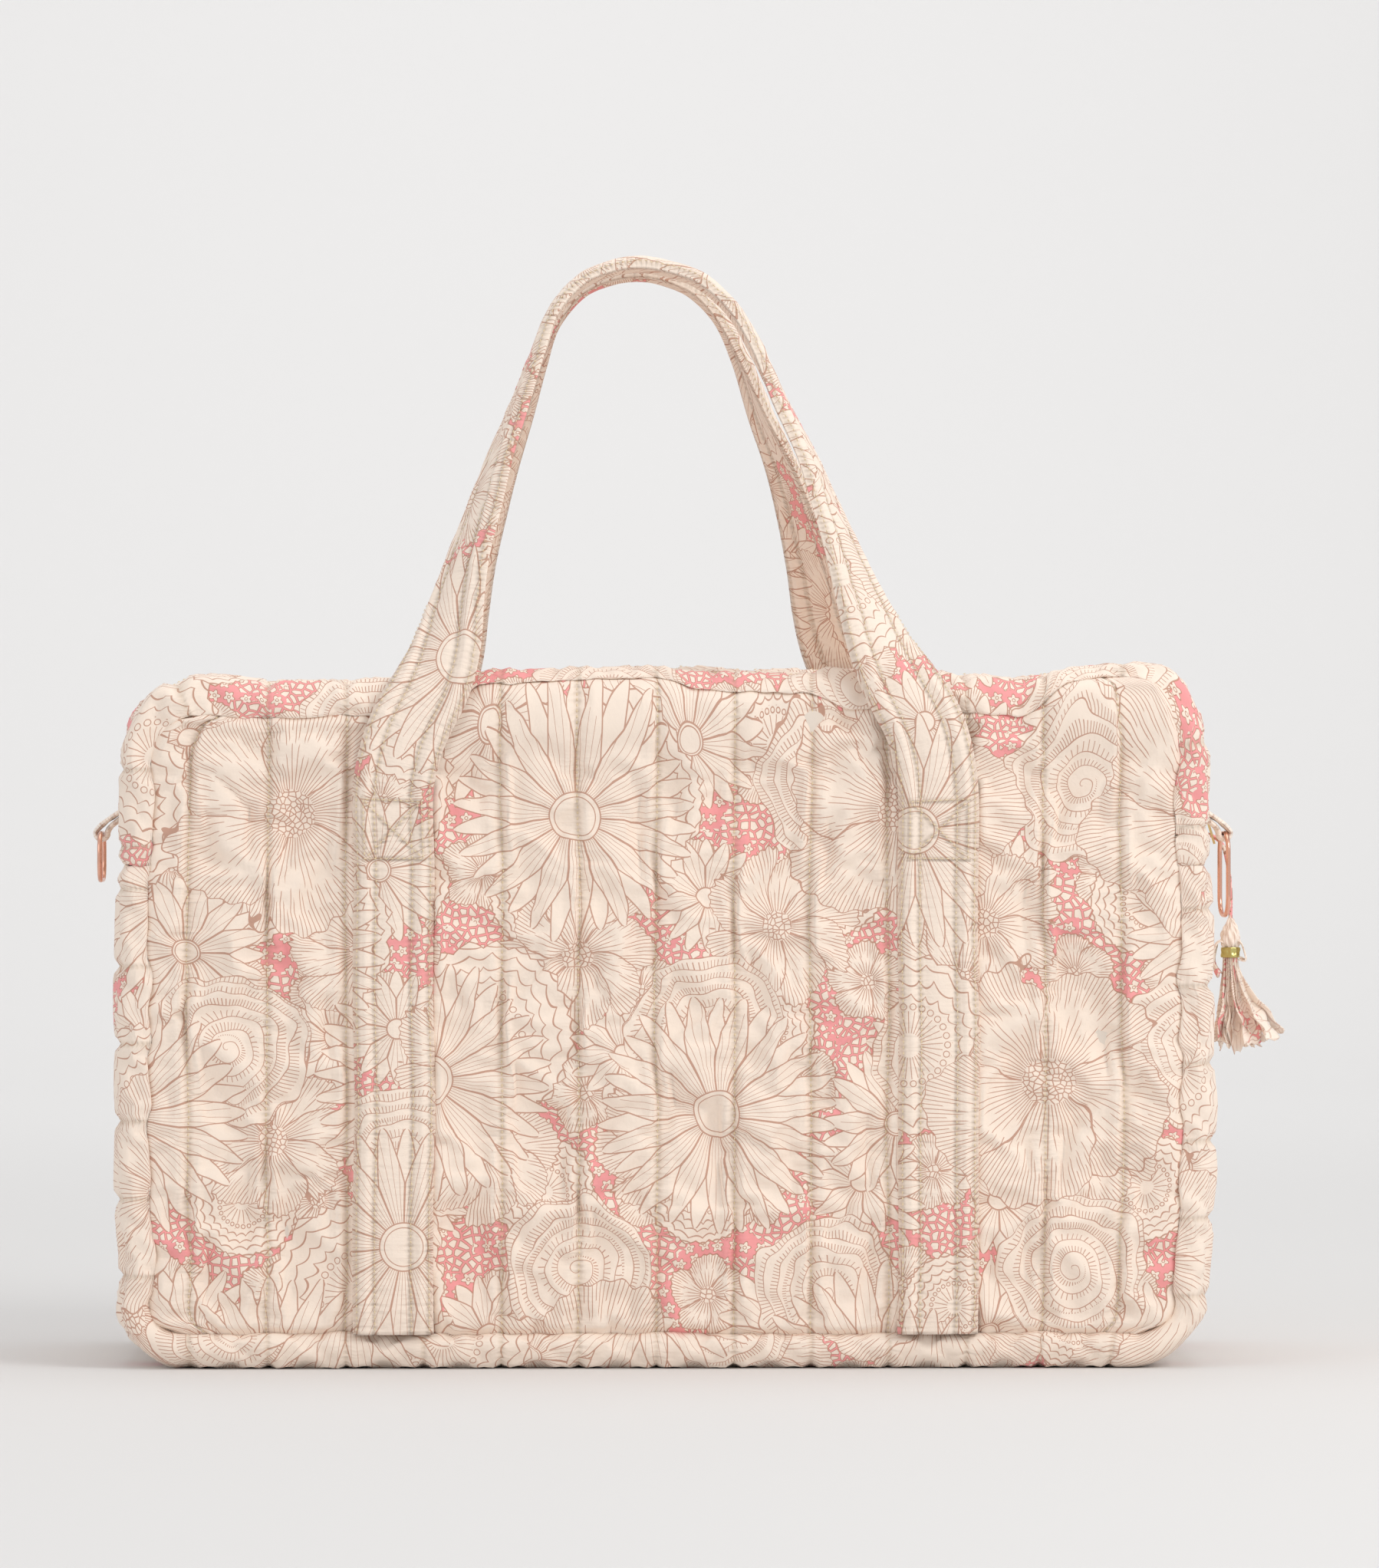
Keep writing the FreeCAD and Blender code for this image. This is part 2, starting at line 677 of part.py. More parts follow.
for side, sign in SIDES:
    copies = []
    for end, way in ENDS:
        stitch = box_stitch()
        turn = Rotation(Vector(0, 0, 1), 0 if sign < 0 else 180)
        spot = Vector(
            way * size["strap_centre"], sign * (HALF_DEPTH + size["strap_thick"]), size["box_level"]
        )
        stitch.Placement = Placement(spot, turn)
        copies.append(stitch)
    feature_node(side + "_box_stitching", Part.makeCompound(copies))

# ---- ring tabs and oval rings ---------------------------------------------------------------


def stadium_path(across, upright, corner):
    """A closed rounded rectangle in the YZ plane, hanging from the origin."""
    y, z = across / 2, upright
    lines = [
        (Vector(0, -y + corner, 0), Vector(0, y - corner, 0)),
        (Vector(0, y, -corner), Vector(0, y, -z + corner)),
        (Vector(0, y - corner, -z), Vector(0, -y + corner, -z)),
        (Vector(0, -y, -z + corner), Vector(0, -y, -corner)),
    ]
    centres = [
        (y - corner, -corner),
        (y - corner, -z + corner),
        (-y + corner, -z + corner),
        (-y + corner, -corner),
    ]
    angles = [45, -45, -135, 135]
    edges = []
    for index in range(4):
        first, last = lines[index]
        if (last - first).Length > 0.01:
            edges.append(Part.makeLine(first, last))
        following = lines[(index + 1) % 4][0]
        cy, cz = centres[index]
        angle = math.radians(angles[index])
        middle = Vector(0, cy + corner * math.cos(angle), cz + corner * math.sin(angle))
        edges.append(Part.Arc(last, middle, following).toShape())
    return Part.Wire(edges)


def oval_ring(across, upright):
    wire = size["ring_wire"]
    path = stadium_path(across - wire, upright - wire, size["ring_corner"])
    start = path.Edges[0].valueAt(path.Edges[0].FirstParameter)
    profile = Part.Wire(Part.makeCircle(wire / 2, start, Vector(0, 1, 0)))
    return path.makePipeShell([profile], True, False)


RING_X = HALF_WIDTH + size["ring_out"]
ring_sizes = {
    "left": (size["ring_long"], size["ring_short"]),
    "right": (size["ring_short"], size["ring_long"]),
}
for end, sign in ENDS:
    body = new_body(end + "_ring_tab_body")
    sketch = plane_sketch(body, end + "_ring_tab_sketch", "XZ_Plane")
    fold = size["tab_fold"]
    rise = size["tab_top"] - size["ring_level"]
    root = -sign * size["ring_out"]
    under = rise - size["tab_root"]
    outer, inner = sign * fold, -sign * fold
    tab_geometry = [
        Part.LineSegment(Vector(outer, 0, 0), Vector(outer, fold, 0)),
        Part.LineSegment(Vector(outer, fold, 0), Vector(root, rise, 0)),
        Part.LineSegment(Vector(root, rise, 0), Vector(root, under, 0)),
        Part.LineSegment(Vector(root, under, 0), Vector(inner, 0, 0)),
        Part.Arc(Vector(-fold, 0, 0), Vector(0, -fold, 0), Vector(fold, 0, 0)),
    ]
    for item in tab_geometry:
        sketch.addGeometry(item, False)
    for index in range(len(tab_geometry)):
        sketch.addConstraint(Sketcher.Constraint("Block", index))
    circle(sketch, 0, 0, "dims.ring_wire + 2 * dims.ring_play")
    pad(body, sketch, end + "_ring_tab_pad", "dims.tab_width", midplane=True)
    body.Placement = Placement(
        Vector(sign * RING_X, -size["tab_centre"], size["ring_level"]), Rotation()
    )
    node(body, end + "_ring_tab")
    feature_node(
        end + "_ring",
        oval_ring(*ring_sizes[end]),
        Placement(Vector(sign * RING_X, -size["tab_centre"], size["ring_level"]), Rotation()),
    )

# ---- zip slider, pull, cord and tassel ------------------------------------------------------

length = size["slider_length"]
thick = size["slider_outer"] - size["slider_inner"]
half = size["slider_half"]
chain_in = HALF_WIDTH - size["chain_depth"] - size["chain_thick"] - size["slider_inner"]
chain_out = chain_in + size["chain_thick"]
tape_in = HALF_WIDTH - size["tape_depth"] - size["tape_thick"] - size["slider_inner"]
play = 0.35
body_block = Part.makeBox(thick, 2 * half, length, Vector(0, -half, 0))
upright_edges = [edge for edge in body_block.Edges if edge.BoundBox.ZLength > 1]
shape = body_block.makeFillet(1.2, upright_edges)
channel_half = size["chain_half"] + play
channel = Part.makeBox(
    chain_out - chain_in + 2 * play, 2 * channel_half, 40, Vector(chain_in - play, -channel_half, -10)
)
slot_height = size["tape_thick"] + 2 * play
slots = Part.makeBox(slot_height, 4 * half, 40, Vector(tape_in - play, -2 * half, -10))
shape = shape.cut([channel, slots])
bridge = Part.makeBox(thick - 1, 2.4, BRIDGE_HEIGHT, Vector(0.5, -1.2, 0))
LUG_HALF = 0.9
LUG_RISE = 3.6
LUG_BAR = 1.2
LUG_LOW, LUG_HIGH = 1.4, 10.2
lug = Part.makeBox(
    LUG_RISE + 0.4, 2 * LUG_HALF, LUG_HIGH - LUG_LOW, Vector(thick - 0.4, -LUG_HALF, LUG_LOW)
)
lug_gap = Part.makeBox(
    LUG_RISE - LUG_BAR, 4, LUG_HIGH - LUG_LOW - 2 * LUG_BAR, Vector(thick, -2, LUG_LOW + LUG_BAR)
)
shape = shape.fuse([bridge, lug.cut(lug_gap)]).removeSplitter()
feature_node(
    "zip_slider",
    shape,
    Placement(Vector(size["slider_inner"], 0, size["slider_foot"]), Rotation()),
)

body = new_body("zip_pull_body")
sketch = plane_sketch(body, "zip_pull_sketch", "YZ_Plane")
EYE_LOW, EYE_HALF = 9.6, 3.0
STRIP_HALF = 0.8
shoulder = size["pull_half"]
tip = size["pull_tip_half"]
reach = size["pull_length"]
polygon(
    sketch,
    [
        (-shoulder, STRIP_HALF),
        (-shoulder, -EYE_LOW - 2.4),
        (-tip, -reach + 3),
        (-tip + 1.4, -reach),
        (tip - 1.4, -reach),
        (tip, -reach + 3),
        (shoulder, -EYE_LOW - 2.4),
        (shoulder, STRIP_HALF),
    ],
)
polygon(
    sketch,
    [
        (-EYE_HALF, -STRIP_HALF),
        (-EYE_HALF, -EYE_LOW),
        (EYE_HALF, -EYE_LOW),
        (EYE_HALF, -STRIP_HALF),
    ],
)
CORD_HOLE_DOWN = 26.0
circle(sketch, 0, -CORD_HOLE_DOWN, "dims.cord_diameter + 2.1")
pad(body, sketch, "zip_pull_pad", "dims.pull_thick", midplane=True)
lean = Rotation(Vector(0, 1, 0), -size["pull_lean"])
tilt = Rotation(Vector(1, 0, 0), size["pull_tilt"])
body.Placement = Placement(
    Vector(size["pull_pivot_x"], 0, size["pull_pivot_z"]), tilt.multiply(lean)
)
node(body, "zip_pull")


def cord_path(points):
    """Straight runs joined by tangent arcs; prints each bend's radius."""
    edges = []
    start = points[0]
    for index in range(1, len(points) - 1):
        corner = points[index]
        into = corner - points[index - 1]
        out = points[index + 1] - corner
        turn = into.getAngle(out)
        shorter = min(into.Length, out.Length)
        cut = CORD_BEND_SHARE * shorter
        radius = cut / math.tan(turn / 2)
        into.normalize()
        out.normalize()
        first = corner - into * cut
        last = corner + out * cut
        bisector = (out - into).normalize()
        centre = corner + bisector * (radius / math.cos(turn / 2))
        middle = centre - bisector * radius
        edges.append(Part.makeLine(start, first))
        edges.append(Part.Arc(first, middle, last).toShape())
        start = last
        print("cord bend %d radius %.1f mm" % (index, radius))
    edges.append(Part.makeLine(start, points[-1]))
    return Part.Wire(edges)


route = [Vector(x, size["tassel_y"], z) for x, z in CORD_ROUTE]
path = cord_path(route)
first_way = (route[1] - route[0]).normalize()
profile = Part.Wire(Part.makeCircle(size["cord_diameter"] / 2, route[0], first_way))
cord = path.makePipeShell([profile], True, False)
expected = math.pi * size["cord_diameter"] ** 2 / 4 * path.Length
print("cord length %.1f mm, volume %.1f, section x length %.1f" % (path.Length, cord.Volume, expected))
feature_node("pull_cord", cord)


def turned_body(name, outline, place):
    """A body of revolution about its own Z axis from (radius, height) points."""
    body = new_body(name + "_body")
    sketch = plane_sketch(body, name + "_sketch", "XZ_Plane")
    polygon(sketch, outline)
    feature = body.newObject("PartDesign::Revolution", name + "_turn")
    feature.Profile = sketch
    feature.ReferenceAxis = (sketch, ["V_Axis"])
    feature.Angle = 360
    doc.recompute()
    body.Placement = place
    return node(body, name)


head_height = size["tassel_top"] - size["band_level"]
head_outline = [(0, 0), (size["band_radius"] - 0.9, 0)]
for share, fraction in ((0.96, 0.16), (1.0, 0.34), (0.9, 0.56), (0.62, 0.76), (0.34, 0.92), (0.26, 1.0)):
    head_outline.append((share * size["head_radius"], fraction * head_height))
head_outline.append((0, head_height))
axis_spot = Vector(size["tassel_x"], size["tassel_y"], size["band_level"])
turned_body("tassel_head", head_outline, Placement(axis_spot, Rotation()))

outer_radius = size["band_radius"]
core = outer_radius - 1.1
band_low = -size["band_height"]
turned_body(
    "tassel_band",
    [(core, band_low), (outer_radius, band_low), (outer_radius, 0), (core, 0)],
    Placement(axis_spot, Rotation()),
)


def star(radius, z, x):
    """A pleated outline around the tassel's axis."""
    points = []
    for index in range(2 * SKIRT_PLEATS):
        angle = math.pi * index / SKIRT_PLEATS
        reach_here = radius if index % 2 == 0 else radius * SKIRT_PLEAT_DEPTH
        points.append(Vector(x + reach_here * math.cos(angle), reach_here * math.sin(angle), z))
    return Part.makePolygon(points + points[:1])


skirt_top = 0.0
skirt_levels = [
    (core - 0.3, skirt_top, 0.0),
    (core - 0.2, -size["band_height"], 0.2),
    (7.4, -20.0, 2.2),
    (size["skirt_radius"], size["skirt_foot"] - size["band_level"], size["skirt_lean"]),
]
skirt = Part.makeLoft([star(*level) for level in skirt_levels], True, True)
feature_node("tassel_skirt", skirt, Placement(axis_spot, Rotation()))

# ---- checks and export ----------------------------------------------------------------------

doc.recompute()
for item in doc.Objects:
    bad = [state for state in item.State if state in ("Invalid", "Error")]
    if bad:
        raise RuntimeError("%s is %s" % (item.Name, bad))

os.makedirs("parts", exist_ok=True)
for item in nodes:
    shape = item.Shape
    if shape.isNull() or not shape.isValid() or not shape.Solids:
        raise RuntimeError("%s has no valid solid" % item.Label)
    box = shape.BoundBox
    print(
        "%-22s solids %d volume %9.1f x %7.1f %7.1f y %7.1f %7.1f z %7.1f %7.1f"
        % (item.Label, len(shape.Solids), shape.Volume, box.XMin, box.XMax, box.YMin, box.YMax, box.ZMin, box.ZMax)
    )
    shape.exportStep("parts/%s.step" % item.Label)
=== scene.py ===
import json
import math

import bpy
import numpy as np
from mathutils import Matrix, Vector


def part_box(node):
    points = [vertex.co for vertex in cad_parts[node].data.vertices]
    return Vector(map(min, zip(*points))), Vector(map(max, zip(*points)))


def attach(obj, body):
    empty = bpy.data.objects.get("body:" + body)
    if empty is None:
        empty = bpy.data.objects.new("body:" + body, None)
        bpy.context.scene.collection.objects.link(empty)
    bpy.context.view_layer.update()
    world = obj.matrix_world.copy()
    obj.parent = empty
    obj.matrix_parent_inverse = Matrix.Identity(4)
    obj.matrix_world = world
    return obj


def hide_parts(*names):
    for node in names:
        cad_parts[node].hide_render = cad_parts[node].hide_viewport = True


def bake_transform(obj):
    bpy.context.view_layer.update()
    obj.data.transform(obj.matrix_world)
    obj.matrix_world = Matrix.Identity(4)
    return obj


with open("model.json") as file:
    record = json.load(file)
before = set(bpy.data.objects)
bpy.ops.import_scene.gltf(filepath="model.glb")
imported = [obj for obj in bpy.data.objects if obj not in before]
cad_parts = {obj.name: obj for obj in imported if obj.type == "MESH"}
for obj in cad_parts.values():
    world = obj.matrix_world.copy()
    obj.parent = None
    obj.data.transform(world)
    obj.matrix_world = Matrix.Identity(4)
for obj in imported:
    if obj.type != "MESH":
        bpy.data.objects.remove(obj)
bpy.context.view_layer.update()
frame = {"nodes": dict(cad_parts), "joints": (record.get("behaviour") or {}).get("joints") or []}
MM = 0.001  # everything below is worked out in millimetres
TWO_PI = 2 * math.pi


def box_mm(node):
    low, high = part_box(node)
    return np.array(low) / MM, np.array(high) / MM


def joint_mm(name):
    found = [joint for joint in frame["joints"] if joint["name"] == name][0]
    return np.array(found["pos_m"]) / MM


panel_low, panel_high = box_mm("front_panel")
shoulder_low, shoulder_high = box_mm("front_zip_gusset")
flap_high = box_mm("front_flap")[1]
leg_low, leg_high = box_mm("front_left_strap")
stitch_low, stitch_high = box_mm("front_box_stitching")

FACE_Y = -panel_low[1]
SEAM_X = panel_high[0]
SEAM_LOW = panel_low[2]
SEAM_HIGH = panel_high[2]
BAND_TOP = shoulder_low[2]
FLAP_X = flap_high[0]
FLAP_HINGE_Y = -joint_mm("front_flap_open")[1]
STRAP_X = -(leg_low[0] + leg_high[0]) / 2
STRAP_WIDTH = leg_high[0] - leg_low[0]
HINGE_Z = joint_mm("front_handle_swing")[2]
BOX_Z = (stitch_low[2] + stitch_high[2]) / 2

# ---------------------------------------------------------------- camera and stage

CAMERA_AZIMUTH = math.radians(-1.0)
CAMERA_DISTANCE = 4.0
TARGET = Vector((0.0115, -FACE_Y * MM, 0.2905))
FRAME_HEIGHT = 0.778  # metres across the picture's height at the front face
SENSOR = 36.0

camera_data = bpy.data.cameras.new("camera")
camera_data.sensor_width = SENSOR
camera_data.lens = SENSOR * CAMERA_DISTANCE / FRAME_HEIGHT
camera_data.clip_end = 50
camera = bpy.data.objects.new("camera", camera_data)
bpy.context.scene.collection.objects.link(camera)
view_way = Vector((-math.sin(CAMERA_AZIMUTH), math.cos(CAMERA_AZIMUTH), 0))
camera.location = TARGET - view_way * CAMERA_DISTANCE
bpy.context.scene.camera = camera
camera.rotation_euler = view_way.to_track_quat("-Z", "Y").to_euler()


def plain_material(name, colour, roughness=0.8, metallic=0.0):
    material = bpy.data.materials.new(name)
    material.use_nodes = True
    shader = material.node_tree.nodes["Principled BSDF"]
    shader.inputs["Base Color"].default_value = (*colour, 1)
    shader.inputs["Roughness"].default_value = roughness
    shader.inputs["Metallic"].default_value = metallic
    return material


def area_light(name, place, target, size, power, colour=(1, 1, 1)):
    data = bpy.data.lights.new(name, "AREA")
    data.shape = "DISK"
    data.size = size
    data.energy = power
    data.color = colour
    lamp = bpy.data.objects.new(name, data)
    bpy.context.scene.collection.objects.link(lamp)
    lamp.location = place
    lamp.rotation_euler = (Vector(target) - Vector(place)).to_track_quat("-Z", "Y").to_euler()


def stage_sweep():
    """Floor and backdrop in one pale curved sheet."""
    floor_end, radius = 3.6, 2.0
    profile = [(-9.0, 0.0), (floor_end, 0.0)]
    for step in range(1, 13):
        angle = math.pi / 2 * step / 12
        profile.append((floor_end + radius * math.sin(angle), radius * (1 - math.cos(angle))))
    profile.append((floor_end + radius, 7.0))
    points, faces = [], []
    for y, z in profile:
        points += [(-9.0, y, z), (9.0, y, z)]
    for index in range(len(profile) - 1):
        a = 2 * index
        faces.append((a, a + 1, a + 3, a + 2))
    mesh = bpy.data.meshes.new("stage_sweep")
    mesh.from_pydata(points, [], faces)
    mesh.shade_smooth()
    sweep = bpy.data.objects.new("stage_sweep", mesh)
    bpy.context.scene.collection.objects.link(sweep)
    mesh.materials.append(plain_material("backdrop", (0.765, 0.762, 0.762), 0.9))


stage_sweep()
world = bpy.data.worlds.new("world")
bpy.context.scene.world = world
world.use_nodes = True
world.node_tree.nodes["Background"].inputs["Color"].default_value = (1.0, 0.99, 0.98, 1)
world.node_tree.nodes["Background"].inputs["Strength"].default_value = 0.70
area_light("key", (2.2, -1.9, 2.1), (0, 0, 0.25), 1.8, 40, (1, 0.98, 0.955))
area_light("fill", (-2.2, -2.0, 1.4), (0, 0, 0.2), 2.0, 8, (0.98, 0.98, 1))
area_light("top", (0.1, 0.3, 2.6), (0, 0, 0.2), 1.8, 11)
area_light("wall", (0.0, 3.0, 3.4), (0, 5.6, 1.2), 3.0, 46)
bpy.context.scene.view_settings.view_transform = "Standard"
bpy.context.scene.view_settings.look = "None"

# ---------------------------------------------------------------- numbers and meshes


def lattice(i, j, seed):
    """A fixed random number from 0 to 1 for each lattice point."""
    mask = 0xFFFFFFFF
    n = (i * 374761393 + j * 668265263 + seed * 1442695041) & mask
    n = ((n ^ (n >> 13)) * 1274126177) & mask
    return ((n ^ (n >> 16)) & 0xFFFF) / 65535.0


def noise(x, y, seed):
    """Smooth noise from -1 to 1 with a feature size of about 1."""
    x, y = np.broadcast_arrays(np.asarray(x, float), np.asarray(y, float))
    i, j = np.floor(x).astype(np.int64), np.floor(y).astype(np.int64)
    fx, fy = x - i, y - j
    fx, fy = fx * fx * (3 - 2 * fx), fy * fy * (3 - 2 * fy)
    low = lattice(i, j, seed) * (1 - fx) + lattice(i + 1, j, seed) * fx
    high = lattice(i, j + 1, seed) * (1 - fx) + lattice(i + 1, j + 1, seed) * fx
    return 2 * (low * (1 - fy) + high * fy) - 1


def smooth(low, high, value):
    t = np.clip((value - low) / (high - low), 0, 1)
    return t * t * (3 - 2 * t)


def bell(value, width):
    return np.exp(-((value / width) ** 2))


def unit(vectors):
    """The vectors at length 1, along the last axis."""
    return vectors / np.maximum(np.linalg.norm(vectors, axis=-1, keepdims=True), 1e-9)


def normals_of(grid):
    """Unit normals of a grid of points, from its two directions."""
    return unit(np.cross(np.gradient(grid, axis=0), np.gradient(grid, axis=1)))


def finer(grid):
    """The grid with a point added between each two, on a smooth curve through them."""
    for axis in (0, 1):
        grid = np.moveaxis(grid, axis, 0)
        before = np.concatenate([2 * grid[:1] - grid[1:2], grid[:-1]])
        after = np.concatenate([grid[1:], 2 * grid[-1:] - grid[-2:-1]])
        middle = (9 * (grid[:-1] + grid[1:]) - before[:-1] - after[1:]) / 16
        result = np.empty((2 * len(grid) - 1, *grid.shape[1:]))
        result[0::2] = grid
        result[1::2] = middle
        grid = np.moveaxis(result, 0, axis)
    return grid


def grid_faces(rows, columns, wrap=False, offset=0):
    """Quads of a grid; with wrap, its last column joins its first."""
    index = np.arange(rows * columns).reshape(rows, columns) + offset
    following = np.roll(index, -1, axis=1) if wrap else index[:, 1:]
    own = index if wrap else index[:, :-1]
    return np.stack([own[:-1], own[1:], following[1:], following[:-1]], -1).reshape(-1, 4)


def make_piece(name, points, faces, uv, materials, slots=None, smooth_faces=True):
    """A mesh object from arrays: points in millimetres, faces all of one size, uv one per point."""
    mesh = bpy.data.meshes.new(name)
    mesh.vertices.add(len(points))
    mesh.vertices.foreach_set("co", (points * MM).astype(np.float32).ravel())
    count, corners = faces.shape
    mesh.loops.add(count * corners)
    mesh.polygons.add(count)
    mesh.loops.foreach_set("vertex_index", faces.astype(np.int32).ravel())
    mesh.polygons.foreach_set("loop_start", np.arange(0, count * corners, corners, dtype=np.int32))
    for material in materials:
        mesh.materials.append(material)
    if slots is not None:
        mesh.polygons.foreach_set("material_index", slots.astype(np.int32))
    mesh.update(calc_edges=True)
    if uv is not None:
        layer = mesh.uv_layers.new(name="cloth")
        layer.uv.foreach_set("vector", (uv[faces.ravel()] * MM).astype(np.float32).ravel())
    if smooth_faces:
        mesh.shade_smooth()
    mesh.validate()
    piece = bpy.data.objects.new(name, mesh)
    bpy.context.scene.collection.objects.link(piece)
    return piece


def slab(name, outer, inner, uv, materials):
    """A closed padded piece from an outer and an inner grid; the inner side takes the second material."""
    rows, columns = outer.shape[:2]
    count = rows * columns
    points = np.concatenate([outer.reshape(-1, 3), inner.reshape(-1, 3)])
    front = grid_faces(rows, columns)
    back = grid_faces(rows, columns, offset=count)[:, ::-1]
    index = np.arange(count).reshape(rows, columns)
    rim = np.concatenate([index[0, ::-1], index[1:, 0], index[-1, 1:], index[-2:0:-1, -1]])
    following = np.roll(rim, -1)
    sides = np.stack([rim, following, following + count, rim + count], -1)
    faces = np.concatenate([front, back, sides[:, ::-1]])
    slots = np.concatenate([np.zeros(len(front)), np.ones(len(back)), np.zeros(len(sides))])
    both = np.concatenate([uv.reshape(-1, 2), uv.reshape(-1, 2)])
    return make_piece(name, points, faces, both, materials, slots)


def sample(values, along, where):
    """A polyline's points, or what else goes with them, at places along it."""
    return np.stack([np.interp(where, along, column) for column in values.T], -1)


def length_along(points):
    steps = np.linalg.norm(np.diff(points[:, :3], axis=0), axis=1)
    return np.concatenate([[0], np.cumsum(steps)])


def resample(points, step):
    """A polyline's points at even steps, with its length along."""
    points = np.asarray(points, float)
    along = length_along(points)
    count = max(2, int(round(along[-1] / step)) + 1)
    at = np.linspace(0, along[-1], count)
    return sample(points, along, at), at


def smooth_curve(points, step):
    """A smooth curve through control points, by Catmull-Rom, at even steps, with its length along."""
    points = np.asarray(points, float)
    padded = np.concatenate([2 * points[:1] - points[1:2], points, 2 * points[-1:] - points[-2:-1]])
    found = []
    for a, b, c, d in zip(padded, padded[1:], padded[2:], padded[3:]):
        square = 2 * a - 5 * b + 4 * c - d
        cube = 3 * b - a - 3 * c + d
        for t in np.linspace(0, 1, 24, endpoint=False):
            found.append(0.5 * (2 * b + (c - a) * t + square * t**2 + cube * t**3))
    found.append(points[-1])
    return resample(found, step)


def arc(x, z, radius, first, last, count):
    """Points of a circle's arc from one angle to another, in degrees."""
    angles = np.radians(np.linspace(first, last, count))
    return [(x + radius * math.cos(angle), z + radius * math.sin(angle)) for angle in angles]


def rounded_loop(x, z, half_x, half_z, radius, count):
    """The closed outline of a rounded rectangle about a centre."""
    points = []
    for quarter, (side, level) in enumerate(((1, 1), (-1, 1), (-1, -1), (1, -1))):
        corner = (x + side * (half_x - radius), z + level * (half_z - radius))
        points += arc(*corner, radius, 90 * quarter, 90 * quarter + 90, count)
    return points + points[:1]


def raised(line, out, y, height):
    """A grid along a line in XZ: at y across it and at a height above it along out."""
    x = line[:, None, 0] + out[:, None, 0] * height
    z = line[:, None, 1] + out[:, None, 1] * height
    return np.stack([x, np.broadcast_to(y, x.shape), z], -1)


def declare(piece, body=None, stands_for=()):
    """Attaches a piece to the body that it rides and hides the nodes that it stands for."""
    if body:
        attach(piece, body)
    if stands_for:
        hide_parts(*stands_for)


# ---------------------------------------------------------------- materials


class Value:
    """A shader socket that takes part in arithmetic; each step becomes one Math node."""

    def __init__(self, tree, socket):
        self.tree, self.socket = tree, socket

    def math(self, operation, *others):
        node = self.tree.nodes.new("ShaderNodeMath")
        node.operation = operation
        for slot, item in enumerate((self, *others)):
            if isinstance(item, Value):
                self.tree.links.new(item.socket, node.inputs[slot])
            else:
                node.inputs[slot].default_value = item
        return Value(self.tree, node.outputs[0])

    def wave(self):
        """A triangle wave of period 1, from 0 at whole numbers to 0.5."""
        return self.math("PINGPONG", 0.5)

    def flip(self):
        """One minus the value."""
        return self.math("MULTIPLY_ADD", -1.0, 1.0)


OPERATIONS = {
    "__add__": "ADD", "__sub__": "SUBTRACT", "__mul__": "MULTIPLY", "__truediv__": "DIVIDE",
    "times_add": "MULTIPLY_ADD", "less": "LESS_THAN", "more": "GREATER_THAN", "near": "COMPARE",
    "least": "MINIMUM", "most": "MAXIMUM", "sine": "SINE", "root": "SQRT", "exponential": "EXPONENT",
    "floor": "FLOOR", "part": "FRACT", "amount": "ABSOLUTE", "angle_over": "ARCTAN2",
}


def method_for(operation):
    def method(self, *others):
        return self.math(operation, *others)

    return method


for method_name, operation in OPERATIONS.items():
    setattr(Value, method_name, method_for(operation))


def vector_math(tree, operation, *items):
    node = tree.nodes.new("ShaderNodeVectorMath")
    node.operation = operation
    for slot, item in enumerate(items):
        if isinstance(item, bpy.types.NodeSocket):
            tree.links.new(item, node.inputs[slot])
        else:
            node.inputs[slot].default_value = item
    return node


INK_HALF = 0.34  # half the width of a printed outline, in mm
HATCH_HALF = 0.2


def texture(tree, kind, place, scale, **inputs):
    """A two-dimensional texture node at a place on the cloth."""
    node = tree.nodes.new("ShaderNodeTex" + kind)
    setattr(node, kind.lower() + "_dimensions", "2D")
    node.inputs["Scale"].default_value = scale
    for name, number in inputs.items():
        node.inputs[name].default_value = number
    tree.links.new(place, node.inputs["Vector"])
    return node


def cell_edge(tree, place, scale):
    """Distance to the nearest wall between random cells."""
    node = texture(tree, "Voronoi", place, scale)
    node.feature = "DISTANCE_TO_EDGE"
    return Value(tree, node.outputs["Distance"])


def sides_of(tree, place):
    """The first two coordinates of a vector socket."""
    node = tree.nodes.new("ShaderNodeSeparateXYZ")
    tree.links.new(place, node.inputs[0])
    return Value(tree, node.outputs[0]), Value(tree, node.outputs[1])


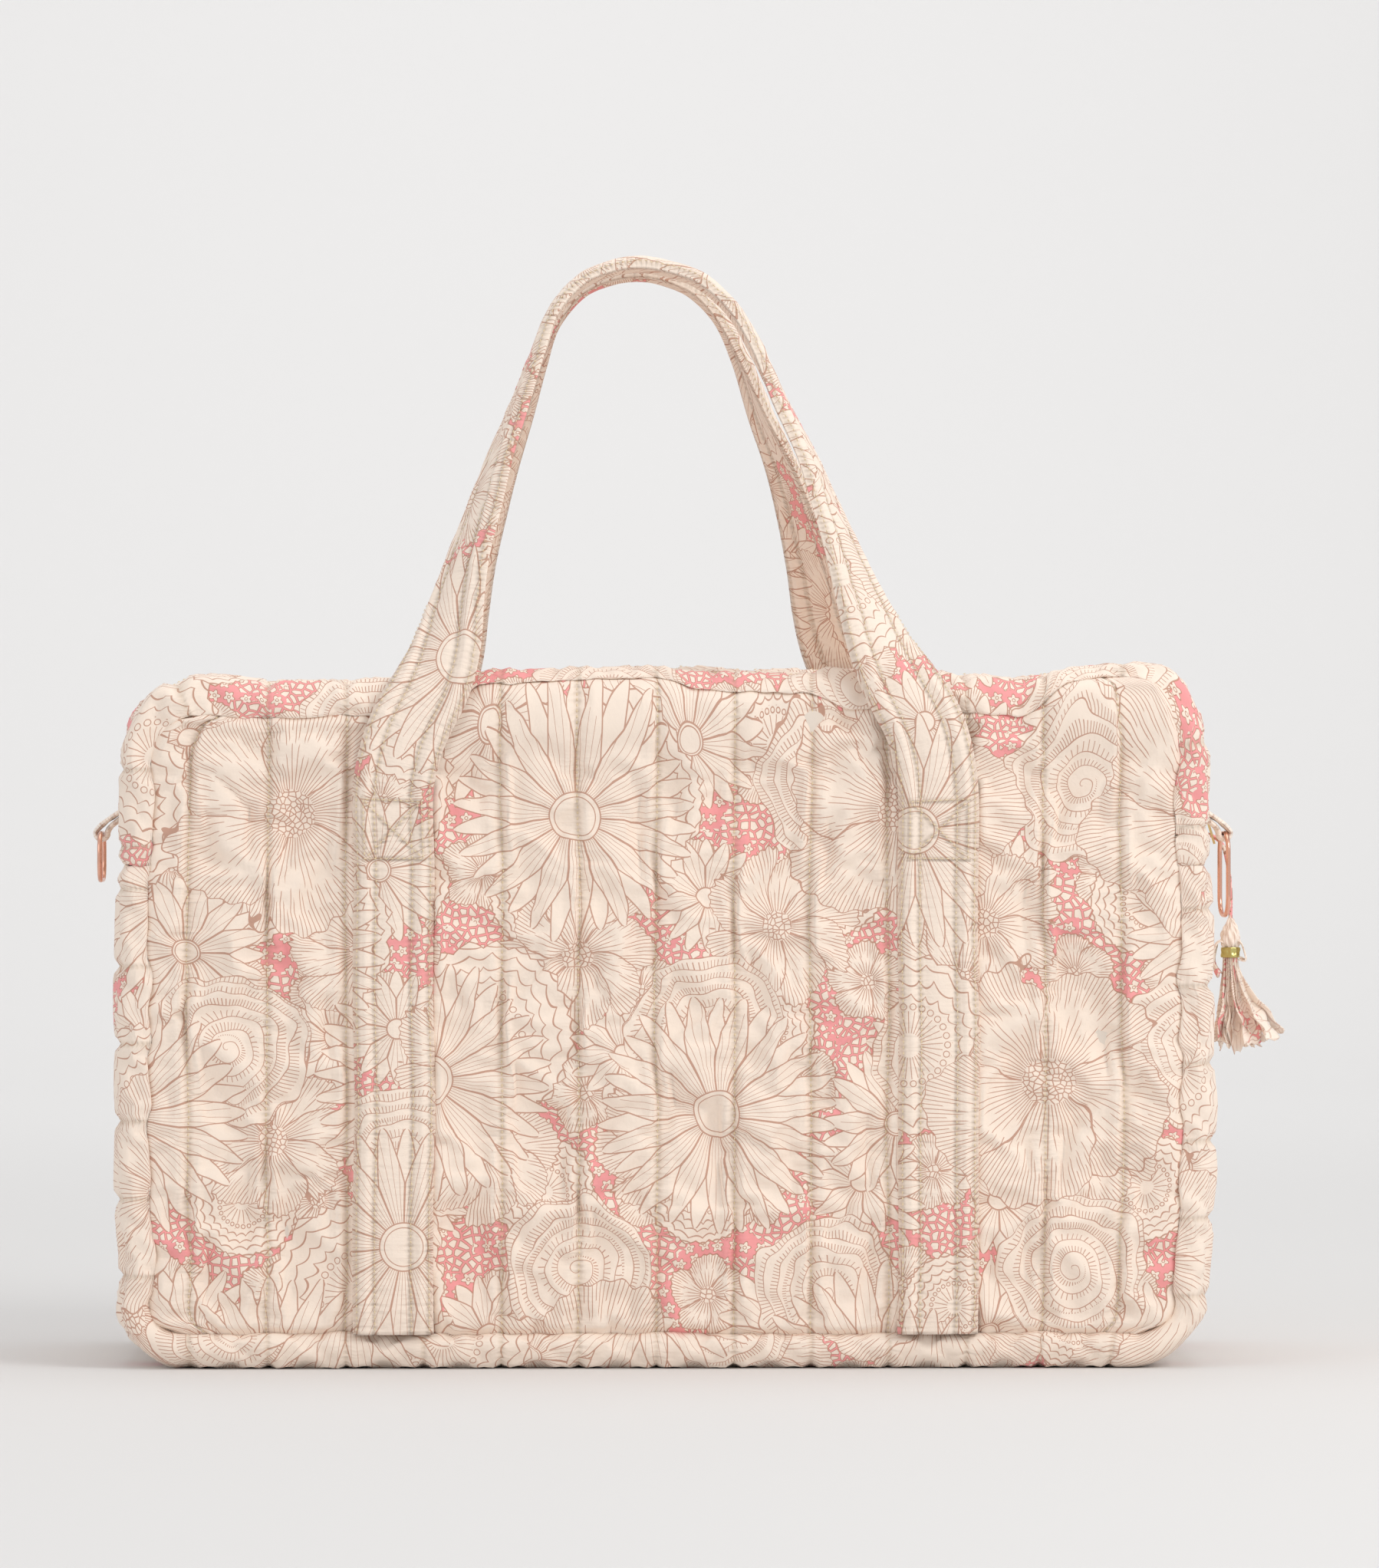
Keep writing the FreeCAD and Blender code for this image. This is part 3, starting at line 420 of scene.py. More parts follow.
def flower_cell(tree, place, cell, jitter, shift):
    """Distance and angle about the flower in each square cell, with random numbers for it."""
    even = (1 / cell, 1 / cell, 0)
    square = vector_math(tree, "MULTIPLY_ADD", place, even, (*shift, 0)).outputs[0]
    stagger = tree.nodes.new("ShaderNodeCombineXYZ")
    row = sides_of(tree, square)[1].floor()
    tree.links.new((row * 0.5).part().socket, stagger.inputs[0])
    scaled = vector_math(tree, "ADD", square, stagger.outputs[0]).outputs[0]
    dice = tree.nodes.new("ShaderNodeTexWhiteNoise")
    dice.noise_dimensions = "2D"
    tree.links.new(vector_math(tree, "FLOOR", scaled).outputs[0], dice.inputs["Vector"])
    share = jitter / cell
    middle = 0.5 - share / 2
    spread = (dice.outputs["Color"], (share, share, 0), (middle, middle, 0))
    centre = vector_math(tree, "MULTIPLY_ADD", *spread).outputs[0]
    inside = vector_math(tree, "FRACTION", scaled).outputs[0]
    local = vector_math(tree, "SUBTRACT", inside, centre).outputs[0]
    radius = Value(tree, vector_math(tree, "LENGTH", local).outputs["Value"]) * cell
    kind = Value(tree, dice.outputs["Value"])
    east, north = sides_of(tree, local)
    turn = north.angle_over(east).times_add(1 / TWO_PI, kind * 3.7)
    return radius, turn, kind


def daisy(at, petals, size, tip, heart):
    """Long separate petals in two rings, ribs along them and a ringed button: (inside, ink)."""
    radius, turn, wobble, _ = at
    sector = turn * petals
    tri = sector.wave()
    breadth = radius * (TWO_PI / petals)
    share = radius / (wobble * (0.16 * size) + 0.92 * size)
    half = (share.flip().most(0.0).root() * tip).least(breadth * 0.485)
    front = half - breadth * tri.times_add(-1.0, 0.5)
    back = half * 0.96 - breadth * tri
    in_front = front.more(0.0)
    count = 5 if size > 50 else 4
    ribs = (sector * count).wave() * breadth * (2 / count)
    rib_ink = ribs.less(HATCH_HALF * 1.15) * share.less(wobble * 0.8 + 0.32 + tri * 0.5)
    within = share.less(0.995)
    ink = (front.near(0.0, INK_HALF)).most(in_front * rib_ink) * within
    back_ink = back.near(0.0, INK_HALF) * in_front.flip() * within
    inside = in_front.most(back.more(0.0))
    button = radius.less(heart)
    rings = (radius * (1 / 2.4)).wave().less(0.1) * radius.more(heart * 0.62)
    edge = radius.near(heart, INK_HALF)
    ink = ink.most(back_ink) * button.flip()
    ink = ink.most(rings * button).most(edge)
    return inside.most(button), ink


def poppy(at, petals, size, swirl, hatch):
    """Broad overlapping petals with ruffled rims, hatched from rim and heart: (inside, ink)."""
    radius, turn, wobble, seeds = at
    share = radius * (1 / size)
    sector = turn * petals + share * share * swirl + wobble * 0.35
    tri = sector.wave()
    rim = (tri - tri * tri).times_add(0.9, wobble * 0.22 + 0.72) * size
    ruffle = (turn * (petals * 7) * TWO_PI).sine() * (0.018 * size)
    rim = rim + ruffle
    inside = radius.less(rim)
    parting = (tri * radius * (TWO_PI / petals)).less(INK_HALF) * share.more(0.16)
    uneven = (turn * (petals * 11) * TWO_PI).sine() * 0.1
    lines = (turn * hatch).wave() * radius * (TWO_PI / hatch)
    outer = lines.less(HATCH_HALF) * (radius / rim).more(uneven + 0.72)
    few = round(hatch * 0.42)
    lines = (turn * few).wave() * radius * (TWO_PI / few)
    hatching = outer.most(lines.less(HATCH_HALF) * share.less(uneven + 0.46 + tri * 0.3))
    ink = parting.most(hatching) * inside
    ink = ink.most(radius.near(rim, INK_HALF))
    heart = share.less(0.2)
    dots = seeds * share.less(0.2)
    return inside, (ink * heart.flip()).most(dots)


def rose(at, size, hatch=104):
    """Wound petals as uneven rings with hatched bands: (inside, ink)."""
    radius, turn, wobble, _ = at
    share = radius * (1 / size)
    uneven = share * (wobble * 0.5 + 0.925)
    ring = uneven * 6.4 + turn
    crest = (turn * 5 * TWO_PI).sine() * 0.16
    ring = ring + crest * share
    outline = (ring.wave() * (2 * size / 8)).less(INK_HALF * 1.1)
    inside = uneven.less(0.93)
    band = (ring.part()).less(wobble * 0.9 + 0.1)
    few = round(hatch * 0.38)
    lines = (turn * few + wobble * 3).wave() * radius * (TWO_PI / few)
    inner = lines.less(HATCH_HALF) * share.less(0.44) * share.more(0.14)
    lines = (turn * hatch + wobble * 3).wave() * radius * (TWO_PI / hatch)
    hatching = (lines.less(HATCH_HALF) * share.more(0.44)).most(inner) * band
    ink = outline.most(hatching) * inside
    return inside, ink.most(uneven.near(0.93, INK_HALF / size * 0.9))


def carnation(at, size):
    """Rows of scallops round a ring of stamens with knobs: (inside, ink)."""
    radius, turn, wobble, _ = at
    row_height = size / 7.5
    row = radius * (1 / row_height) + wobble * 1.1
    number = row.floor()
    sector = turn * 22 + number * 0.5 + wobble
    tri = sector.wave()
    scallop = row.part() - (tri * tri * 1.7)
    arcs = scallop.near(0.42, INK_HALF / row_height * 1.1) * radius.more(size * 0.46)
    rim = (turn * 22 + wobble).wave() * (0.16 * size) + 0.9 * size
    inside = radius.less(rim)
    stamens = round(size * 0.7)
    stamen = (turn * stamens).wave() * radius * (TWO_PI / stamens)
    rods = stamen.less(HATCH_HALF) * radius.less(size * 0.36) * radius.more(size * 0.13)
    across = (turn * 26).wave().times_add(-1.0, 0.5) * radius * (TWO_PI / 26)
    along = radius - size * 0.41
    knob = (across * across + along * along).root().near(size * 0.032, INK_HALF * 0.7)
    ink = (arcs.most(rods).most(knob)) * inside
    return inside, ink.most(radius.near(rim, INK_HALF))


def mix_kinds(choose, first, second):
    """One flower or the other by a 0 or 1 mask."""
    other = choose.flip()
    return (
        first[0] * choose + second[0] * other,
        first[1] * choose + second[1] * other,
    )


# The print's flowers from the top layer down: cell and jitter in mm, shift in cells, share of the
# first kind, then one or two kinds, each with the numbers that its function takes.
LAYERS = [
    (150, 20, (3.27, 7.61), 0.55, (daisy, 15, 60, 9.5, 12), (poppy, 5, 58, 0.3, 170)),
    (122, 20, (11.78, 2.13), 0.6, (rose, 47), (carnation, 47)),
    (100, 18, (5.41, 13.36), 0.5, (poppy, 8, 37, 0.6, 120), (daisy, 11, 38, 8.5, 6)),
    (74, 12, (7.77, 4.31), 0.45, (carnation, 28), (daisy, 9, 28, 7.5, 5)),
    (53, 12, (1.19, 9.87), 0, (poppy, 5, 19, 0.2, 80)),
]


def flower_print(tree, place):
    """Ink and pink-ground masks of the print, from a place on the cloth in millimetres."""
    wobble = Value(tree, texture(tree, "Noise", place, 0.045, Detail=1.0).outputs[0])
    seeds = cell_edge(tree, place, 0.42).less(0.11)
    stone = cell_edge(tree, place, 0.25)
    cover = ink = None
    for cell, jitter, shift, share, *kinds in LAYERS:
        radius, turn, kind = flower_cell(tree, place, cell, jitter, shift)
        drawn = [draw((radius, turn, wobble, seeds), *numbers) for draw, *numbers in kinds]
        inside, lines = drawn[0] if len(drawn) == 1 else mix_kinds(kind.less(share), *drawn)
        ink = ink.most(lines * cover.flip()) if cover else lines
        cover = cover.most(inside) if cover else inside

    radius, turn, kind = flower_cell(tree, place, 7.6, 2.2, (8.31, 4.47))
    rim = (turn * 5 * TWO_PI).sine() * 0.62 + 2.35
    pebbled = (wobble + kind * 0.12).more(0.52)
    blossom = (radius.less(rim) * pebbled.flip()).most(stone.more(0.13) * pebbled)
    petals = radius.near(rim, 0.26).most(radius.near(0.75, 0.2)) * pebbled.flip()
    lines = petals.most(stone.near(0.14, 0.045) * pebbled)
    ink = ink.most(lines * cover.flip())
    return ink, cover.most(blossom).flip()


CREAM = (0.945, 0.815, 0.705)
INK = (0.490, 0.225, 0.145)
PINK = (0.920, 0.375, 0.375)
# painted shade: the darker brown that the stitch grooves are tinted towards
GROOVE_SHADE = (0.600, 0.430, 0.280)
PITCH = 38.5  # between quilting lines, in mm
FIRST_LINE = -5.0
STITCH_PITCH = 2.9
STRAP_ROWS = (-18.0, -9.0, 9.0, 18.0)
BOX_HALF = 14.5


def channel_gap(across, _along):
    """Distance to the nearest line of the quilted channels."""
    return ((across - FIRST_LINE) * (1 / PITCH)).wave() * PITCH


def strap_gap(across, along, boxes):
    """Distance to the nearest stitch line of a strap: four rows and a crossed square at each box."""
    off = across.amount()
    rows = (off - STRAP_ROWS[2]).amount().least((off - STRAP_ROWS[3]).amount())
    level = (along - boxes[0]).amount().least((along - boxes[1]).amount())
    sides = (level - BOX_HALF).amount().least((off - BOX_HALF).amount())
    crossed = sides.least((level - off).amount() * 0.7)
    outside = (level.most(off) - BOX_HALF - 1.5).more(0.0)
    return rows.least(crossed + outside * 50)


def mixed(tree, factor, first, second):
    """A colour between two, each of them a socket or a plain colour."""
    node = tree.nodes.new("ShaderNodeMix")
    node.data_type = "RGBA"
    tree.links.new(factor, node.inputs[0])
    for slot, colour in ((6, first), (7, second)):
        if isinstance(colour, bpy.types.NodeSocket):
            tree.links.new(colour, node.inputs[slot])
        else:
            node.inputs[slot].default_value = (*colour, 1)
    return node.outputs[2]


def bump(tree, height, strength, distance, normal=None):
    node = tree.nodes.new("ShaderNodeBump")
    node.inputs["Strength"].default_value = strength
    node.inputs["Distance"].default_value = distance
    tree.links.new(height, node.inputs["Height"])
    if normal:
        tree.links.new(normal, node.inputs["Normal"])
    return node.outputs[0]


def print_material(name, shift=(0.0, 0.0), cream=CREAM, gap_of=None, depth=1.1, inked=0.78):
    """Cotton with the line-drawn flower print and a fine weave; gap_of gives dimpled stitch lines with
    painted shade in their grooves.
    """
    material = plain_material(name, cream, 0.86)
    tree = material.node_tree
    shader = tree.nodes["Principled BSDF"]
    source = tree.nodes.new("ShaderNodeUVMap")
    source.uv_map = "cloth"
    scale = (1 / MM, 1 / MM, 0)
    place = vector_math(tree, "MULTIPLY_ADD", source.outputs[0], scale, (*shift, 0)).outputs[0]
    ink, ground = flower_print(tree, place)
    colour = mixed(tree, (ink * inked).socket, mixed(tree, ground.socket, cream, PINK), INK)
    weave = texture(tree, "Noise", place, 0.5, Detail=3.0).outputs[0]
    normal = bump(tree, weave, 0.35, 0.0006)
    if gap_of:
        across, along = sides_of(tree, place)
        across, along = across - shift[0], along - shift[1]
        gap = gap_of(across, along)
        dimple = (along * (1 / STITCH_PITCH)).wave() * 2
        groove_and_shade = (gap * gap * -0.55).exponential() * (dimple * 0.6 + 0.55)
        drawn = vector_math(tree, "MULTIPLY", place, (0.03, 0.27, 0)).outputs[0]
        gathers = Value(tree, texture(tree, "Noise", drawn, 1.0, Detail=2.0).outputs[0])
        gathers = gathers * (gap * gap * -0.02).exponential() * 1.5
        # painted shade: along the stitch lines the colour is tinted up to 30 % towards the darker groove
        # colour
        colour = mixed(tree, (groove_and_shade * 0.3).socket, colour, GROOVE_SHADE)
        normal = bump(tree, (gathers - groove_and_shade * depth).socket, 1.0, MM, normal)
    tree.links.new(colour, shader.inputs["Base Color"])
    tree.links.new(normal, shader.inputs["Normal"])
    shader.inputs["Sheen Weight"].default_value = 0.12
    shader.inputs["Sheen Roughness"].default_value = 0.5
    shader.inputs["Specular IOR Level"].default_value = 0.25
    return material


def rolled_print(name):
    """The print as it shows on the thin rolled cord: cream with short pink and brown marks."""
    material = plain_material(name, CREAM, 0.86)
    tree = material.node_tree
    place = tree.nodes.new("ShaderNodeTexCoord").outputs["Object"]
    colour = CREAM
    for scale, low, high, ink in ((150.0, 0.50, 0.54, PINK), (520.0, 0.56, 0.60, INK)):
        marks = tree.nodes.new("ShaderNodeTexNoise")
        marks.inputs["Scale"].default_value = scale
        marks.inputs["Detail"].default_value = 0.0
        tree.links.new(place, marks.inputs["Vector"])
        chosen = tree.nodes.new("ShaderNodeMapRange")
        chosen.inputs["From Min"].default_value = low
        chosen.inputs["From Max"].default_value = high
        tree.links.new(marks.outputs[0], chosen.inputs["Value"])
        colour = mixed(tree, chosen.outputs[0], colour, ink)
    tree.links.new(colour, tree.nodes["Principled BSDF"].inputs["Base Color"])
    return material





QUILT = print_material("print_quilted", gap_of=channel_gap)
EDGE_QUILT = print_material("print_gusset", gap_of=channel_gap, depth=0.7)
STRIP_PRINT = print_material("print_strips", (19.0, 83.0), cream=(0.97, 0.86, 0.76), inked=0.42)
LINING = plain_material("lining", (0.78, 0.70, 0.62), 0.9)
THREAD = plain_material("thread", (0.90, 0.76, 0.50), 0.7)
TAPE = plain_material("zip_tape_cloth", (0.72, 0.62, 0.50), 0.85)
TEETH = plain_material("zip_teeth_resin", (0.50, 0.36, 0.23), 0.38)
ROSE_GOLD = plain_material("rose_gold", (0.86, 0.48, 0.36), 0.2, 1.0)
CORD_PRINT = rolled_print("print_cord")
BRASS = plain_material("light_gold", (0.75, 0.58, 0.28), 0.25, 1.0)
FOIL = plain_material("band_foil", (0.60, 0.53, 0.20), 0.28, 1.0)

# ---------------------------------------------------------------- cloth simulation


CLOTH = {
    "quality": 6, "mass": 0.12, "air_damping": 2.0, "tension_stiffness": 12, "compression_stiffness": 12,
    "shear_stiffness": 4, "bending_stiffness": 0.25, "vertex_group_mass": "held", "use_pressure": True,
}
CLOTH_FRAMES = 22


def simulate(name, grid, pinned, pressure, grow, cap):
    """Blow the grid out between its pinned points with Blender's Cloth; returns the settled grid."""
    piece = make_piece(name + "_trial", grid.reshape(-1, 3), grid_faces(*grid.shape[:2]), None, [])
    group = piece.vertex_groups.new(name="held")
    group.add(np.flatnonzero(pinned.ravel()).tolist(), 1.0, "REPLACE")
    cloth = piece.modifiers.new("cloth", "CLOTH")
    for setting, value in CLOTH.items():
        setattr(cloth.settings, setting, value)
    cloth.settings.uniform_pressure_force = pressure
    cloth.settings.shrink_min = -grow
    cloth.settings.effector_weights.gravity = 0
    cloth.collision_settings.use_collision = False
    cloth.point_cache.frame_start = 1
    cloth.point_cache.frame_end = CLOTH_FRAMES
    scene = bpy.context.scene
    for number in range(1, CLOTH_FRAMES + 1):
        scene.frame_set(number)
    result = piece.evaluated_get(bpy.context.evaluated_depsgraph_get())
    found = np.empty(grid.size, np.float32)
    result.data.vertices.foreach_get("co", found)
    moved = found.reshape(grid.shape).astype(float) / MM - grid
    far = np.linalg.norm(moved, axis=2, keepdims=True)
    moved *= np.minimum(1, cap / np.maximum(far, 1e-9))
    scene.frame_set(1)
    bpy.data.objects.remove(piece)
    return grid + moved


# ---------------------------------------------------------------- stitches


STITCH_SIZE = np.array([2.0, 0.62, 0.5])  # along the line, across it and above it
BEAD = np.array([[-1, 0, 0], [0, 1, 0], [0, 0, 1], [0, -1, 0], [0, 0, -1], [1, 0, 0]]) * STITCH_SIZE / 2
BEAD_FACES = np.array([
    [0, 2, 1], [0, 3, 2], [0, 4, 3], [0, 1, 4], [5, 1, 2], [5, 2, 3], [5, 3, 4], [5, 4, 1],
])


def stitch_mesh(name, lines, raised_by=0.35):
    """Thread stitches along polylines, each a pointed bead; lines are (points, normals) pairs."""
    beads = []
    for track, up in lines:
        along = length_along(track)
        middles = np.arange(STITCH_PITCH, along[-1] - STITCH_PITCH / 2, STITCH_PITCH)
        way = unit(sample(track, along, middles + 0.6) - sample(track, along, middles - 0.6))
        normal = unit(sample(up, along, middles))
        centre = sample(track, along, middles) + normal * raised_by
        axes = np.stack([way, np.cross(normal, way), normal], 1)
        beads.append(centre[:, None] + BEAD @ axes)
    beads = np.concatenate(beads)
    faces = BEAD_FACES + len(BEAD) * np.arange(len(beads))[:, None, None]
    return make_piece(name, beads.reshape(-1, 3), faces.reshape(-1, 3), None, [THREAD])


# ---------------------------------------------------------------- quilted shell

STEP = PITCH / 9
SEAM_Y = FACE_Y - 7.5
TOP_RADIUS, BASE_RADIUS = 28.0, 17.0
TOP_CROWN, SIDE_CROWN, BASE_CROWN = 17.8, 16.6, 18.0
LINE_RECESS = 3.2
GUSSET_RECESS = 1.0
LINES = [FIRST_LINE + PITCH * k for k in range(-8, 9)]
REAR = np.array([-1.0, -1.0, 1.0])  # turns a front piece into its rear twin


def outline(start_z, upward):
    """The seam in XZ from the left end round to the right: points, outward normals, lengths."""
    sign = 1 if upward else -1
    radius = TOP_RADIUS if upward else BASE_RADIUS
    centre_x = SEAM_X - radius
    centre_z = SEAM_HIGH - radius if upward else SEAM_LOW + radius
    corners = [(-SEAM_X, start_z)]
    corners += arc(-centre_x, centre_z, radius, 180, 180 - sign * 90, 24)
    corners += arc(centre_x, centre_z, radius, sign * 90, 0, 24)
    corners.append((SEAM_X, start_z))
    points, along = resample(corners, step=1.0)
    way = unit(np.gradient(points, axis=0))
    return points, np.stack([-way[:, 1], way[:, 0]], -1) * sign, along


def row_positions(low, high, lines, step):
    """Positions from low to high that take in every line, about a step apart."""
    marks = [low] + [line for line in lines if low + step < line < high - step] + [high]
    found = [low]
    for first, last in zip(marks, marks[1:]):
        count = max(1, int(round((last - first) / step)))
        found += list(np.linspace(first, last, count + 1)[1:])
    return np.array(found)


def pucker(across, along, seed, reach=7.0, height=0.55):
    """Small ripples across a stitched line, fading away from it; across is the distance to the line."""
    ripple = noise(along / 5.2, across / 30 + 50, seed) + 0.6 * noise(along / 2.9, across / 22 + 9, seed + 1)
    return height * ripple * bell(across, reach)


def line_distance(x):
    """Distance to the nearest quilting line, and its number."""
    number = np.round((x - FIRST_LINE) / PITCH)
    return x - (FIRST_LINE + number * PITCH), number


def seam_lift(z):
    """How much nearer the face the seam lies than SEAM_Y: a deep tuck at the foot, shallow above."""
    tuck = 4.0 * (1 - smooth(SEAM_LOW, SEAM_LOW + 34, z))
    return 4.4 - tuck + 0.9 * smooth(SEAM_HIGH - 26, SEAM_HIGH - 5, z)


SETTLE_Z = (0, 11, 26, 56, 87, 132, 224, 284, 315, 338, 352)
LEFT_IN = (0, -1, -2, 0.5, -2.5, -2.3, -2.2, -0.8, 0.5, -1.5, -1)
RIGHT_OUT = (-8, -6, -2.5, -0.3, 1.5, 2.2, 1, -1, 0, 1.5, 1)
SETTLE_X = (-272, -240, -209, -178, -148, -60, 0, 140, 175, 216, 247, 275)
TOP_RISE = (-3, -3.5, -7, -7.5, -6.8, -3, 0, -3, -6.5, -0.5, 2.5, 1.5)


def settle(points):
    """The filled bag's uneven stance, as a change in x and z of points on its body."""
    x, y, z = points[..., 0], points[..., 1], points[..., 2]
    off_zip = np.maximum(smooth(14, 40, np.abs(y)), smooth(296, 322, z))
    side = smooth(150, 262, np.abs(x)) * off_zip
    left = np.interp(z, SETTLE_Z, LEFT_IN) * (x < 0)
    right = np.interp(z, SETTLE_Z, RIGHT_OUT) * (x > 0)
    moved = points.copy()
    waver = 1.5 * noise(z / 15, y / 90, 301) + 0.8 * noise(z / 6.5, y / 60, 302)
    moved[..., 0] += np.sign(x) * waver * bell(np.abs(x) - SEAM_X, 11) * off_zip
    waver = 1.2 * noise(x / 17, y / 90, 303) + 0.7 * noise(x / 7, y / 60, 304)
    moved[..., 2] += waver * (bell(z - SEAM_HIGH, 9) + 0.7 * bell(z - SEAM_LOW, 6))
    moved[..., 0] += (left + right) * side
    moved[..., 2] += np.interp(x, SETTLE_X, TOP_RISE) * smooth(290, 338, z)
    return roll_back(moved)


ROLL_Y, ROLL_Z = -89.0, 334.0  # the axis along X that the front's top edge turns about
ROLL_TURN = math.radians(64)


def roll_back(points):
    """Turns the front's top edge backward between the straps and at the right, seam and all."""
    x, y, z = points[..., 0], points[..., 1] - ROLL_Y, points[..., 2] - ROLL_Z
    window = smooth(178, 204, x) * (1 - smooth(240, 268, x))
    window = window + smooth(-112, -92, x) * (1 - smooth(62, 92, x))
    angle = -ROLL_TURN * (1 - smooth(9, 36, np.hypot(y, z))) * window
    turned = points.copy()
    turned[..., 1] = ROLL_Y + y * np.cos(angle) - z * np.sin(angle)
    turned[..., 2] = ROLL_Z + y * np.sin(angle) + z * np.cos(angle)
    return turned


def face_profile(x, z):
    """How far the face stands out at a point of the panel."""
    edge = np.minimum.reduce([SEAM_X - np.abs(x), z - SEAM_LOW, SEAM_HIGH - z])
    edge = np.maximum(edge, 0)
    rise = 6.5 * (1 - np.exp(-edge / 6.0))
    up = np.clip((z - SEAM_LOW) / (SEAM_HIGH - SEAM_LOW), 0, 1)
    belly = 3.0 * (1 - (x / SEAM_X) ** 2) * np.sin(np.pi * up)
    return SEAM_Y + rise + belly + seam_lift(z) * np.exp(-edge / 6.0)


SAG = 6.5  # drop of the front's top edge between the middle and the right-hand strap


def sag_window(x):
    return smooth(-10, 16, x) * (1 - smooth(62, 84, x))


# Soft folds of the front face: x, z, heading in degrees, half length, half width, height.
FOLDS = [
    (256, 283, -40, 19, 6, 3.6), (247, 291, -42, 17, 4, -2.6), (251, 266, -62, 18, 5, -2.8),
    (236, 240, -75, 26, 6, 1.8), (-222, 252, -18, 24, 5, -2.4), (-205, 243, 8, 22, 5, 1.8),
    (-180, 264, 14, 20, 5, -1.8), (-238, 276, 70, 24, 5, 1.8), (-232, 305, 82, 30, 4, -1.8),
    (-60, 118, 12, 34, 7, -1.5), (42, 176, -9, 30, 7, -1.4), (196, 96, 16, 30, 7, -1.6),
    (-196, 70, -12, 30, 7, -1.6), (96, 62, 8, 26, 6, 1.4), (-20, 44, -6, 30, 6, 1.4),
    (228, 150, -68, 26, 6, -1.6), (-100, 292, -30, 17, 5, -2.2), (30, 300, 6, 24, 6, -1.8),
]


def folds(x, z):
    """Outward displacement of the soft folds."""
    total = 0 * x
    for fold_x, fold_z, heading, half_long, half_wide, height in FOLDS:
        c, s = math.cos(math.radians(heading)), math.sin(math.radians(heading))
        along = (x - fold_x) * c + (z - fold_z) * s
        across = (z - fold_z) * c - (x - fold_x) * s + 0.012 * along**2
        total = total + height * bell(along, half_long) * bell(across, half_wide)
    return total


def dent(x, z):
    """The hollow beside the right-hand strap and the sag of the top edge, as inward depth and drop."""
    hollow = 9.0 * bell(x - 80, 26) * bell(z - 324, 18)
    fold = 5.0 * bell((x - 66) * 0.35 - (z - 308), 7) * bell(x - 88, 26)
    return hollow - fold - folds(x, z), SAG * sag_window(x) * smooth(285, 330, z)


def panel_grid():
    columns = row_positions(-SEAM_X, SEAM_X, LINES, STEP)
    rows = row_positions(SEAM_LOW, SEAM_HIGH, [], STEP)
    u, v = np.meshgrid(columns, rows, indexing="ij")
    low_edge, high_edge = v - SEAM_LOW, SEAM_HIGH - v
    half = np.full_like(v, SEAM_X)
    for edge, radius in ((low_edge, BASE_RADIUS), (high_edge, TOP_RADIUS)):
        inside = np.clip(radius - edge, 0, radius)
        half = np.minimum(half, SEAM_X - (radius - np.sqrt(np.maximum(radius**2 - inside**2, 0))))
    inner = SEAM_X - 46
    beyond = np.maximum(np.abs(u) - inner, 0)
    x = np.sign(u) * (np.minimum(np.abs(u), inner) + beyond * (half - inner) / (SEAM_X - inner))
    return u, v, x


def quilted_panel(name, sign, seed):
    """One face: a puffed grid with vertical channels, its stitches, and its place in the cloth."""
    u, v, x = panel_grid()
    wander = 1.1 * noise(v / 60, line_distance(u)[1] * 7.3, seed)
    x = x + wander * smooth(0, 20, SEAM_X - np.abs(u))
    y = face_profile(x, v)
    distance, number = line_distance(u)
    on_line = np.abs(distance) < 0.1
    border = np.ones_like(on_line)
    border[1:-1, 1:-1] = False
    under_strap = (np.abs(np.abs(u) - STRAP_X) < STRAP_WIDTH / 2 - 1) & (v < HINGE_Z + 4)
    y = np.where(under_strap, y - 1.5, y)
    y = y - LINE_RECESS * on_line * smooth(0, 14, np.minimum(v - SEAM_LOW, SEAM_HIGH - v))
    grid = np.stack([x, -y, v], -1)
    pinned = on_line | border | under_strap
    grid = simulate(name, grid, pinned, 3.4, 0.07, 8.0)
    grid = finer(grid)
    cloth = finer(np.stack([u, v, 0 * u], -1))[:, :, :2]
    u, v = cloth[:, :, 0], cloth[:, :, 1]
    normal = normals_of(grid)
    distance, number = line_distance(u)
    ripple = pucker(distance, v + number * 137, seed + 5)
    edge = np.minimum.reduce([SEAM_X - np.abs(u), v - SEAM_LOW, SEAM_HIGH - v])
    side_edge = SEAM_X - np.abs(u)
    ripple += 0.7 * noise(np.where(side_edge < 24, v, u) / 7.0, edge / 26, seed + 9) * bell(edge, 14)
    ripple += 0.5 * noise(u / 21, v / 13, seed + 3)
    ripple *= smooth(0, 5, edge)
    grid = grid + normal * ripple[:, :, None]
    if sign < 0:
        hollow, sag = dent(u, v)
        grid[:, :, 1] += hollow * smooth(0, 8, edge)
        grid[:, :, 2] -= sag
    normal = normals_of(grid)
    for end in (0, -1):
        push = 2.2 + 1.6 * bell(v[end] - BAND_TOP, 6)
        grid[end] += np.stack([push * (1 if end else -1), 1.8 + 0 * push, 0 * push], -1)
        grid[:, end] += (0, 1.8, 2.2 if end else -2.2)
    inner = grid.copy()
    inner[:, :, 1] = -(FACE_Y - 8.6)
    pick = np.flatnonzero(np.abs(line_distance(u[:, 0])[0]) < 0.1)
    way = REAR if sign > 0 else 1
    lines = [(settle(grid[k] * way), normal[k] * way) for k in pick]
    return settle(grid * way), settle(inner * way), cloth, lines


